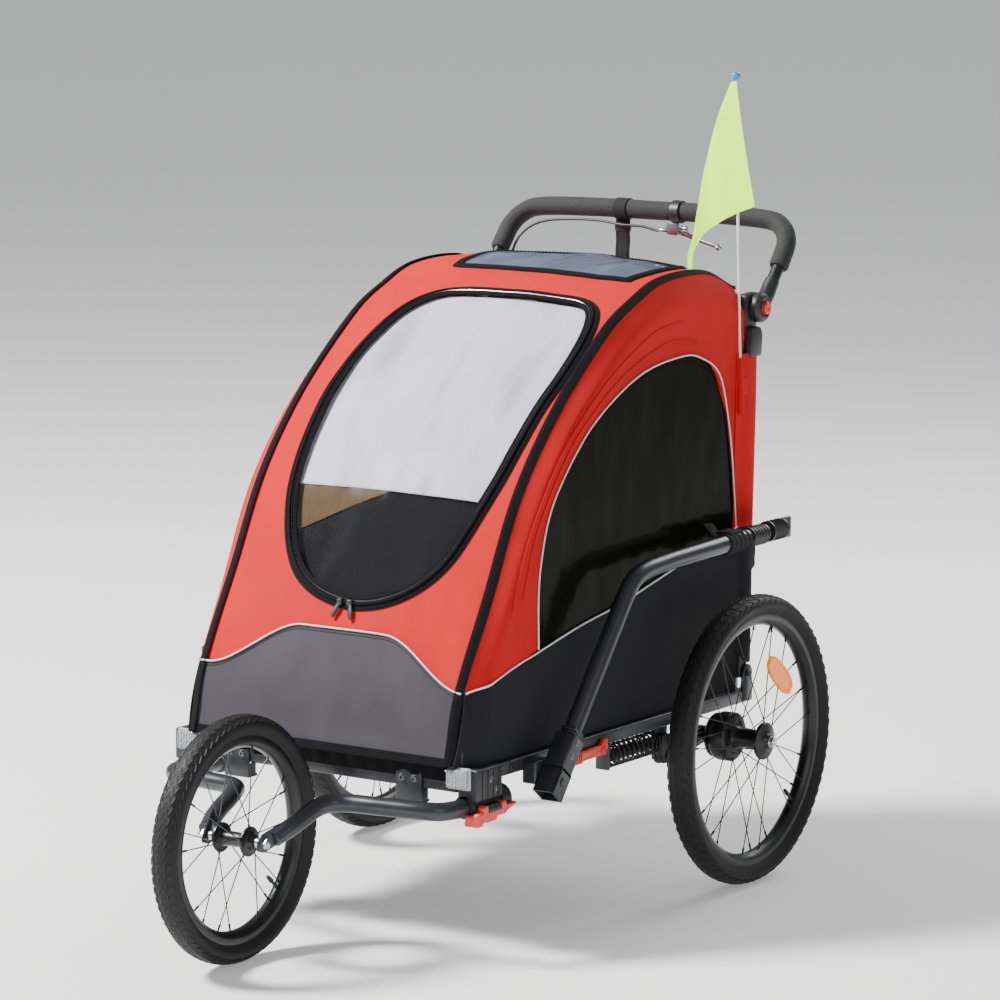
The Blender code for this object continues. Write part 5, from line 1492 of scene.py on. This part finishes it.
# %% Swing arms and springs
for label, side in SIDES:
    outline = [(-0.137, 0.220), (-0.105, 0.217), (-0.004, 0.235)] + disc_outline(0.0, 0.250, 0.0135, -70, 70, 8)
    outline += [(-0.004, 0.264), (-0.105, 0.246), (-0.1210, 0.270), (-0.1455, 0.270), (-0.1455, 0.236)]
    arm = plate("arm", outline, side * 0.2837, side * 0.2968, 0.0018)
    rib = plate("rib", [(-0.118, 0.226), (-0.016, 0.243), (-0.016, 0.256), (-0.104, 0.240)], side * 0.2965,
                side * 0.2985, 0.0007)
    boss = turn("boss", [(0.0, 0.0), (0.0125, 0.0), (0.0125, side * 0.017), (0.0110, side * 0.0185), (0.0, side * 0.0185)],
                at(side * 0.2965, 0, 0.250), 32)
    back = turn("backplate", [(0.0, 0.0), (0.030, 0.0), (0.036, side * 0.0020), (0.038, side * 0.0045),
                              (0.038, side * 0.0080), (0.034, side * 0.0083), (0.0, side * 0.0083)],
                at(side * 0.3115, 0, 0.250), 48)
    stiff = [bolt(side, 0.2985, y, z, 0.0042, 0.003) for y, z in ((-0.030, 0.2455), (-0.085, 0.2370))]
    show(joined(f"arm_plate_{label}",
                (arm, rib, boss, back, *stiff, bolt(side, 0.2968, -0.125, 0.232, 0.007, 0.005))),
         BLACK_ALLOY, f"swing_arm_{label}", (f"swing_arm_{label}",))
    spindle = bar("spindle", 0.0049, at(side * 0.2900, 0, 0.250), at(side * 0.4330, 0, 0.250))
    nut = sweep("nut", [at(side * (0.4256 + 0.0060 * k / 3), 0, 0.250) for k in range(4)], 0.0088, 6)
    washer = bar("washer", 0.0098, at(side * 0.4245, 0, 0.250), at(side * 0.4256, 0, 0.250))
    show(joined(f"wheel_spindle_{label}", (spindle, nut, washer)), STEEL, f"swing_arm_{label}")

    turns_count, steps_each = 12, 18
    helix = []
    for k in range(turns_count * steps_each + 1):
        share = k / (turns_count * steps_each)
        settled = smoothstep(share, -0.04, 1.04)
        y = -0.3050 + 0.1568 * (0.5 * share + 0.5 * settled)
        angle = 2 * math.pi * turns_count * share
        helix.append(at(side * 0.282 + 0.0178 * math.cos(angle), y, 0.2575 + 0.0178 * math.sin(angle)))
    core = bar("core", 0.0105, at(side * 0.282, -0.3070, 0.2575), at(side * 0.282, -0.1485, 0.2575))
    spring = show(joined(f"coil_spring_{label}", (sweep("coil", helix, 0.0021, 8), core)), BLACK_PAINT,
                  "chassis",
                  (f"suspension_spring_{label}",))
    tuple(at(side * 0.282, -0.305, 0.2575))
    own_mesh(spring)

# %% [markdown]
# The clips hold the fork in its sockets, and the longer red levers lock the fold.

# %% Red clips and fold locks
for label, side in SIDES:
    ring = sweep("ring", placed([(side * 0.272, -0.6318 + 0.0256 * k / 8, 0.243) for k in range(9)]),
                 lambda t: 0.0243 - 0.0008 * smoothstep(abs(t - 0.5), 0.35, 0.5), 40)
    lever = plate("lever",
                  [(-0.720, 0.2275), (-0.716, 0.2255), (-0.640, 0.2255), (-0.628, 0.232), (-0.608, 0.236),
                            (-0.608, 0.2405), (-0.640, 0.2400), (-0.668, 0.2365), (-0.716, 0.2365)],
                  side * 0.2938, side * 0.3060, 0.0018)
    hook = plate("hook",
                 [(-0.721, 0.2155), (-0.706, 0.2155), (-0.700, 0.2210), (-0.703, 0.2260), (-0.712, 0.2265),
                          (-0.7165, 0.2350), (-0.7205, 0.2330)], side * 0.2805, side * 0.3055, 0.0016)
    spine = plate("spine",
                  [(-0.700, 0.2215), (-0.690, 0.2185), (-0.664, 0.2185), (-0.656, 0.2262), (-0.700, 0.2262)],
                  side * 0.2960, side * 0.3035, 0.0016)
    loop = plate("loop",
                 [(-0.652, 0.2260), (-0.640, 0.2260), (-0.638, 0.2440), (-0.642, 0.2480), (-0.650, 0.2480),
                          (-0.654, 0.2440)], side * 0.2935, side * 0.3070, 0.0016)
    stem = plate("stem",
                 [(-0.702, 0.2260), (-0.692, 0.2260), (-0.690, 0.2440), (-0.694, 0.2480), (-0.700, 0.2480),
                          (-0.704, 0.2440)], side * 0.2935, side * 0.3070, 0.0016)
    show(joined(f"fork_clip_body_{label}", (lever, hook, spine, loop, stem)), RED_PLASTIC, f"fork_clip_{label}",
         (f"fork_clip_{label}",))
    show(ring, BLACK_PLASTIC, f"fork_clip_{label}").name = f"fork_clip_ring_{label}"
    grip = sweep("grip", placed([(side * 0.2998, -0.690 + 0.040 * k / 20, 0.2390) for k in range(21)]),
                 lambda t: 0.0072 - 0.0006 * math.cos(t * 2 * math.pi * 6) - 0.003 * smoothstep(abs(t - 0.5), 0.44, 0.5), 24)
    show(grip, BLACK_PLASTIC, f"fork_clip_{label}").name = f"fork_clip_grip_{label}"

    blade = plate("blade",
                  [(-0.340, 0.2705), (-0.333, 0.2790), (-0.332, 0.2960), (-0.342, 0.2985), (-0.352, 0.2885),
                            (-0.400, 0.2870), (-0.425, 0.2855),
                            (-0.441, 0.2845), (-0.441, 0.2680), (-0.428, 0.2670), (-0.400, 0.2705)],
                  side * 0.2972, side * 0.3058, 0.0022)
    ridges = [side_block(side, "ridge", (0.3050, 0.3105), (y, y + 0.0030), (0.2690, 0.2835), 0.0009)
              for y in (-0.439, -0.433, -0.427, -0.421)]
    show(joined(f"fold_lock_{label}", (blade, *ridges, bolt(side, 0.3056, -0.345, 0.279, 0.0055, 0.0032))),
         RED_PLASTIC, f"lock_lever_{label}", (f"lock_lever_{label}",))
print("chassis pieces done")

# %% [markdown]
# ## Rear frame and push bar
# The rear frame is a hinged pair of uprights with a bar between them. Toothed plastic joints carry the push
# bar, whose foam grip ends short of them. The foam is swept a little uneven, because it is cut by hand.

# %% Uprights, joints and push bar
for label, side in SIDES:
    tube = sweep("tube", placed([(side * 0.280, 0.140 + 0.010 * t, 0.325 + 0.611 * t) for t in
                                 (k / 30 for k in range(31))]), 0.0109, 24)
    show(joined(f"upright_tube_{label}", (tube, bolt(side, 0.2885, 0.140, 0.335, 0.0055, 0.0025))), PAINT,
         "rear_frame", (f"rear_upright_{label}",))
    fixed = turn("fixed", rounded([(0.0, 0.0), (0.0235, 0.0), (0.0260, side * 0.0020), (0.0260, side * 0.0150),
                                   (0.0240, side * 0.0165), (0.0, side * 0.0165)], 0.0005),
                 at(side * 0.2688, 0.166, 0.968), 48)
    neck = plate("neck", [(0.133, 0.886), (0.166, 0.886), (0.168, 0.922), (0.174, 0.950), (0.188, 0.974),
                          (0.160, 0.994), (0.136, 0.992), (0.128, 0.960)], side * 0.2690, side * 0.2850, 0.0040)
    foot_clamp = plate("clamp",
                       [(0.130, 0.884), (0.170, 0.884), (0.173, 0.922), (0.166, 0.936), (0.134, 0.936)],
                       side * 0.2660, side * 0.2975, 0.0050)
    show(joined(f"joint_half_fixed_{label}", (fixed, neck, foot_clamp)), BLACK_PLASTIC, "rear_frame",
         (f"handle_joint_{label}",))
    turning = turn("turning",
                   rounded([(0.0, 0.0), (0.0245, 0.0), (0.0260, side * 0.0020), (0.0260, side * 0.0120),
                                       (0.0225, side * 0.0165), (0.0175, side * 0.0180),
                            (0.0165, side * 0.0160),
                                       (0.0112, side * 0.0155), (0.0112, side * 0.0118),
                            (0.0, side * 0.0118)], 0.0004),
                   at(side * 0.2860, 0.166, 0.968), 48)
    arm = sweep("arm", placed([(side * 0.2880, 0.174, 0.968), (side * 0.2880, 0.184, 0.976),
                               (side * 0.2880, 0.196, 0.986), (side * 0.2880, 0.207, 1.000),
                               (side * 0.2880, 0.216, 1.010)]), lambda t: 0.0150 - 0.0022 * t, 28)
    show(joined(f"joint_half_turning_{label}", (turning, arm)), BLACK_PLASTIC, "handlebar",
         (f"handlebar_tube",))
    button = turn("button", [(0.0, 0.0), (0.0105, 0.0), (0.0105, side * 0.0068), (0.0095, side * 0.0080),
                             (0.0060, side * 0.0084), (0.0045, side * 0.0074), (0.0, side * 0.0070)],
                  at(side * 0.3018, 0.166, 0.968), 36)
    show(button, RED_PLASTIC, f"button_{label}",
         (f"handle_button_{label}",)).name = f"joint_button_{label}"

show(sweep("backrest_tube", placed([(-0.2685 + 0.537 * k / 20, 0.1440, 0.600) for k in range(21)]), 0.0080, 20),
     PAINT, "rear_frame", ("backrest_bar",))
bar_curve = smooth(mirrored_route(BAR_ROUTE), 10)
show(sweep("push_bar_tube", placed(bar_curve), TUBE_R, 28), BLACK_PAINT, "handlebar",
     ("handlebar_tube",))
skip = 15
foam_curve = bar_curve[skip:-skip]


def foam_radius(t):
    edge = min(t, 1 - t)
    return FOAM_R - 0.0022 * (1 - smoothstep(edge, 0.0, 0.006)) + 0.00025 * noise.noise(Vector((t * 40, 0, 0)))


show(sweep("push_bar_foam", placed(foam_curve), foam_radius, 32), FOAM, "handlebar", ("foam_grip",))
show(sweep("hoop_tube", placed(smooth([(0.250, -0.700, 0.325)] + [
    (0.250, profile_at(s)[0].y + profile_at(s)[1].z * 0.015, profile_at(s)[0].z - profile_at(s)[1].y * 0.015)
    for s in (k * COVER_LENGTH / 24 for k in range(3, 24))], 2)), TUBE_R, 20), PAINT, "front_hoop",
     ("canopy_hoop",))
print("push bar done")

# %% [markdown]
# ## On the push bar
# A parking brake hangs under the bar: a clamp, an alloy perch, a blade with a ball end, and its cable, which is
# a free cord. Beside it a safety strap is buckled round the foam.

# %% Brake and wrist strap
BAR_Y, BAR_Z = 0.295, 1.112


def bar_ring(name, x_from, x_to, inner, outer, edge=0.0008):
    return turn(name, rounded([(inner, x_from), (outer, x_from), (outer, x_to), (inner, x_to)], edge),
                at(0, BAR_Y, BAR_Z), 48)


clamp = bar_ring("clamp", 0.0410, 0.0590, 0.0174, 0.0206)
perch = plate("perch",
              [(0.2850, 1.0935), (0.2930, 1.0935), (0.2930, 1.0730), (0.2900, 1.0690), (0.2860, 1.0705)],
              0.030, 0.054, 0.0030)
barrel = bar("barrel", 0.0042, at(0.0150, 0.2890, 1.0780), at(0.0300, 0.2890, 1.0780))
knob = sweep("knob", placed([(0.0620 + 0.010 * k / 6, 0.2885, 1.0835) for k in range(7)]),
             lambda t: 0.0048 + 0.0004 * math.cos(t * 30), 14)
show(clamp, BLACK_PLASTIC, "handlebar", ("brake_clamp",)).name = "brake_clamp_ring"
show(joined("brake_perch", (perch, barrel, knob)), SATIN_ALLOY, "handlebar", ("brake_clamp",))
blade_path = smooth([(0.0480, 0.2992, 1.0775), (0.0600, 0.2997, 1.0735), (0.0780, 0.3000, 1.0670),
                     (0.1000, 0.2997, 1.0605), (0.1180, 0.2995, 1.0560), (0.1280, 0.2995, 1.0525)], 6)
blade = sweep("blade", placed(blade_path), lambda t: 0.0072 - 0.0030 * smoothstep(t, 0.05, 0.5), 18, flat=0.55,
              up=(0, 1, 0))
ball = turn("ball", [(0.0066 * math.sin(a), 0.0066 * math.cos(a)) for a in
                     (math.pi * k / 12 for k in range(13))], at(0.1300, 0.2995, 1.0520), 24)
pin = bar("pin", 0.0034, at(0.0500, 0.2945, 1.0770), at(0.0500, 0.3040, 1.0770))
show(joined("brake_blade", (blade, ball, pin)), SATIN_ALLOY, "brake_lever", ("brake_lever",))

CABLE_ROUTE = ((0.0275, 0.289, 1.078), (0.010, 0.288, 1.077), (-0.020, 0.288, 1.083), (-0.060, 0.284, 1.084),
               (-0.120, 0.290, 1.089), (-0.200, 0.286, 1.086), (-0.240, 0.274, 1.076), (-0.264, 0.260, 1.052),
               (-0.265, 0.236, 1.018), (-0.263, 0.215, 0.990))
cable_path = placed(smooth(CABLE_ROUTE, 3))
cable = show(sweep("brake_cable_housing", cable_path, 0.0025, 12), BLACK_PLASTIC, "handlebar",
             ("brake_cable",))

loop = bar_ring("loop", -0.0760, -0.0500, 0.0172, 0.0194, 0.0006)
tail_path = smooth([(-0.063, 0.2925, 1.0930), (-0.063, 0.2915, 1.0750), (-0.063, 0.2930, 1.0550),
                    (-0.063, 0.2915, 1.0350), (-0.063, 0.2925, 1.0180)], 5)
tail = sweep("tail", placed(tail_path), 0.0150, 12, flat=0.09, up=(0, 1, 0))
slide = block("slide", at(-0.0790, 0.2885, 1.0720), at(-0.0470, 0.2965, 1.0860), 0.0025)
show(joined("wrist_strap_webbing", (loop, tail)), WEBBING, "handlebar", ("wrist_strap",))
show(slide, BLACK_PLASTIC, "handlebar").name = "wrist_strap_slide"
for offset in (-0.0105, 0.0105):
    stitches(f"wrist_stitches_{'out' if offset > 0 else 'in'}",
             [p + Vector((offset, -0.0013, 0)) for p in placed(tail_path)], SIDE_CLOTH, "handlebar")

# %% [markdown]
# ## Safety flag
# The pole stands in a socket on the upright. Its pennant is one cut of light nylon. It is lofted between its
# two edges, with a wave that grows towards the free side and a tail that turns over.

# %% Flag
POLE_FOOT, POLE_HEAD = Vector((0.2905, 0.110, 0.800)), Vector((0.2700, 0.110, 1.362))
pole = [at(*POLE_FOOT.lerp(POLE_HEAD, k / 40)) for k in range(41)]
show(sweep("flag_rod", pole, 0.0025, 14), WHITE_ROD, "flag", ("flag_pole",))
cap_at = at(*POLE_HEAD) + Vector((-0.0002, 0, 0.004))
cap = turn("flag_cap", [(0.0085 * math.sin(a), 0.0085 * math.cos(a)) for a in
                        (math.pi * k / 20 for k in range(21))], cap_at, 40)
show(cap, BLUE_PLASTIC, "flag")
LEFT_EDGE = ((0.2630, 1.3560), (0.2390, 1.2970), (0.2110, 1.2100), (0.2005, 1.1390), (0.1945, 1.0850),
             (0.1875, 1.0530), (0.1930, 1.0300))
RIGHT_EDGE = ((0.2735, 1.3560), (0.2830, 1.2970), (0.2980, 1.2200), (0.3125, 1.1520), (0.3110, 1.1455),
              (0.2805, 1.1340),
              (0.2430, 1.1150), (0.2150, 1.0970), (0.2030, 1.0760), (0.1965, 1.0560), (0.1955, 1.0305))
pennant_rows = []
for index, (a, b) in enumerate(zip(spread(LEFT_EDGE, 60), spread(RIGHT_EDGE, 60))):
    t = index / 60
    row = []
    for k in range(25):
        x, z = a.lerp(b, k / 24).yz
        pole_x = POLE_FOOT.x + (POLE_HEAD.x - POLE_FOOT.x) * (z - POLE_FOOT.z) / (POLE_HEAD.z - POLE_FOOT.z)
        free = abs(x - pole_x)
        wave = 0.09 * free * math.sin(free * 60 + t * 2.2) + 0.006 * smoothstep(t, 0.8, 1.0) * math.sin(k * 0.3)
        row.append(at(x, 0.1055 - wave * smoothstep(free, 0.0, 0.05), z))
    pennant_rows.append(row)
pennant = sheet_of("flag_pennant", pennant_rows, 0.0008, (0, -1, 0))
show(pennant, FLAG_CLOTH, "flag", ("pennant",))
pole_way = (POLE_HEAD - POLE_FOOT).normalized()
socket = sweep("socket", [at(*(POLE_FOOT + pole_way * (-0.010 + 0.095 * k / 24))) for k in range(25)],
               lambda t: 0.0060 - 0.0006 * math.cos(t * 2 * math.pi * 2), 20)
strap = block("strap", at(0.2845, 0.1120, 0.822), at(0.2925, 0.1375, 0.852), 0.0015)
show(joined("flag_socket_channel", (socket, strap)), RED_CLOTH, "rear_frame", ("flag_socket",))

# %% [markdown]
# ## Seat
# The cushion and the backrest are blown up by the cloth solver: a remeshed slab swells, is capped so that it
# stays clear of its neighbours, and gets sewn channels pressed into it afterwards.

# %% Padded pieces
VOXEL, SWELL_FRAMES, SWELL_PRESSURE, SWELL_CAP = 0.006, 20, 4.0, 0.012


def rest_of_slab(name, low, high, shrink):
    """A slab a little smaller than the space it may fill."""
    low, high = Vector(low) + Vector(shrink), Vector(high) - Vector(shrink)
    made = block(name, low, high, min(high - low) * 0.42, 5)
    return modified(made, "REMESH", mode="VOXEL", voxel_size=VOXEL)


def swollen(made):
    """Let pressure fill the slab, and cap how far any point may move."""
    rest = [v.co.copy() for v in made.data.vertices]
    step = made.modifiers.new("cloth", "CLOTH")
    step.settings.use_pressure = True
    step.settings.uniform_pressure_force = SWELL_PRESSURE
    step.settings.effector_weights.gravity = 0.0
    step.point_cache.frame_start, step.point_cache.frame_end = 1, SWELL_FRAMES
    for frame_number in range(1, SWELL_FRAMES + 1):
        bpy.context.scene.frame_set(frame_number)
    settle(made)
    bpy.context.scene.frame_set(1)
    for vert, start in zip(made.data.vertices, rest):
        move = vert.co - start
        if move.length > SWELL_CAP:
            vert.co = start + move * (SWELL_CAP / move.length)
    return modified(made, "SUBSURF", levels=1, render_levels=1)


def channels(made, axis, places, direction, depth, width=0.012):
    """Press sewn channels into one face of a pad."""
    middle_value = sum(v.co[direction] for v in made.data.vertices) / len(made.data.vertices)
    for vert in made.data.vertices:
        if abs(vert.co[direction] - middle_value) < 0.004:
            continue
        dip = sum(math.exp(-((vert.co[axis] - place) / width) ** 2) for place in places)
        vert.co[direction] += math.copysign(depth * dip, middle_value - vert.co[direction])
    return made


seat = swollen(rest_of_slab("seat_pad", at(-0.213, -0.298, 0.345), at(0.213, 0.016, 0.392),
                            (0.010, 0.010, 0.008)))
channels(seat, 0, (-0.072, 0.072), 2, 0.005)
show(seat, SEAT_CLOTH, "chassis", ("seat_cushion",))
back = swollen(rest_of_slab("backrest_pad", at(-0.213, 0.057, 0.364), at(0.213, 0.093, 0.856),
                            (0.010, 0.007, 0.010)))
channels(back, 2, (REAR_RADIUS + 0.27, REAR_RADIUS + 0.43), 1, 0.004)
show(back, SEAT_CLOTH, "chassis", ("seat_back",))
crumple(back)
print("pads:", len(seat.data.polygons), len(back.data.polygons), "faces")

# %% [markdown]
# Flat webbing with buckles lies on the seat. It is modelled directly, so no simulation can erase it.

# %% Harness
harness = []
for side in (1, -1):
    for x, top, low in ((0.125, 0.760, 0.420), (0.055, 0.760, 0.420)):
        route = smooth([(side * x, 0.052, top), (side * x, 0.046, top - 0.10), (side * x, 0.044, 0.560),
                        (side * x, 0.040, low + 0.02), (side * x * 0.97, -0.02, 0.4035)], 6)
        harness.append(sweep("web", placed(route), 0.0125, 10, flat=0.10, up=(0, 1, 0)))
    harness.append(sweep("lap", placed([(side * (0.030 + 0.150 * k / 10), -0.020 + 0.02 * (k / 10) ** 2,
                                         0.4045 - 0.004 * (k / 10)) for k in range(11)]), 0.0125, 10, flat=0.10,
                         up=(0, 0, 1)))
crumple(show(joined("harness_webbing", harness), WEBBING, "chassis"))
buckles = [side_block(side, "buckle", (0.066, 0.114), (-0.045, -0.005), (0.4030, 0.4130),
                      0.004) for side in (1, -1)]
buttons = [side_block(side, "press", (0.082, 0.098), (-0.032, -0.018), (0.4120, 0.4145),
                      0.0012) for side in (1, -1)]
crumple(show(joined("harness_buckles", buckles), BLACK_PLASTIC, "chassis"))
crumple(show(joined("harness_buttons", buttons), RED_PLASTIC, "chassis"))

# %% [markdown]
# ## Back of the cabin
# The back is a red panel with a dark storage pocket over its lower half. It hangs from a bound top edge.

# %% Rear fabric
REAR_Y = 0.1275


def rear_y(x, out):
    """How far back the back panel lies: flat in the middle, and curved round to the uprights."""
    return REAR_Y + out + 0.032 * smoothstep(abs(x), 0.236, 0.262)


def rear_sheet(name, low, high, out, belly, finish, nodes=(), crowned=0.0):
    """One panel of the back. Its top may follow the cover's crown."""
    rows = []
    for row in range(41):
        t = row / 40
        sag = belly * math.sin(math.pi * t)
        rows.append([at(x, rear_y(x, out) + sag * (1 - (x / 0.262) ** 2) + ripple(x, low + t, 0.0022, 7.0),
                        low + (high + crowned * (1 - (x / 0.262) ** 2) - low) * t)
                     for x in (-0.2620 + 0.524 * k / 80 for k in range(81))])
    return crumple(show(sheet_of(name, rows, 0.0016, (0, 1, 0)), finish, "chassis", nodes))


rear_sheet("rear_red_panel", 0.560, 0.990, 0.0, 0.003, RED_CLOTH, ("rear_panel",), 0.014)
rear_sheet("rear_dark_panel", 0.312, 0.565, 0.0, 0.002, SIDE_CLOTH, ("rear_panel",))
rear_sheet("rear_pocket", 0.340, 0.545, 0.004, 0.014, GREY_CLOTH)
for name, z, out in (("rear_pocket_binding", 0.546, 0.0055), ("rear_seam_piping", 0.562, 0.0030)):
    path = [at(x, rear_y(x, out), z) for x in (-0.258 + 0.516 * k / 60 for k in range(61))]
    finish = BINDING if "binding" in name else PIPING
    crumple(show(sweep(name, path, 0.0070 if finish is BINDING else 0.0017, 12,
                       flat=0.4 if finish is BINDING else 1.0,
                       up=(0, 1, 0)), finish, "chassis"))
top_edge = [cover_point(-COVER_EDGE + 2 * COVER_EDGE * k / 60, COVER_LENGTH - 0.001, 0.0004) for k in range(61)]
show(sweep("cover_rear_binding", top_edge, 0.0068, 14, flat=0.5, up=(0, 0, 1)), BINDING, "front_hoop")
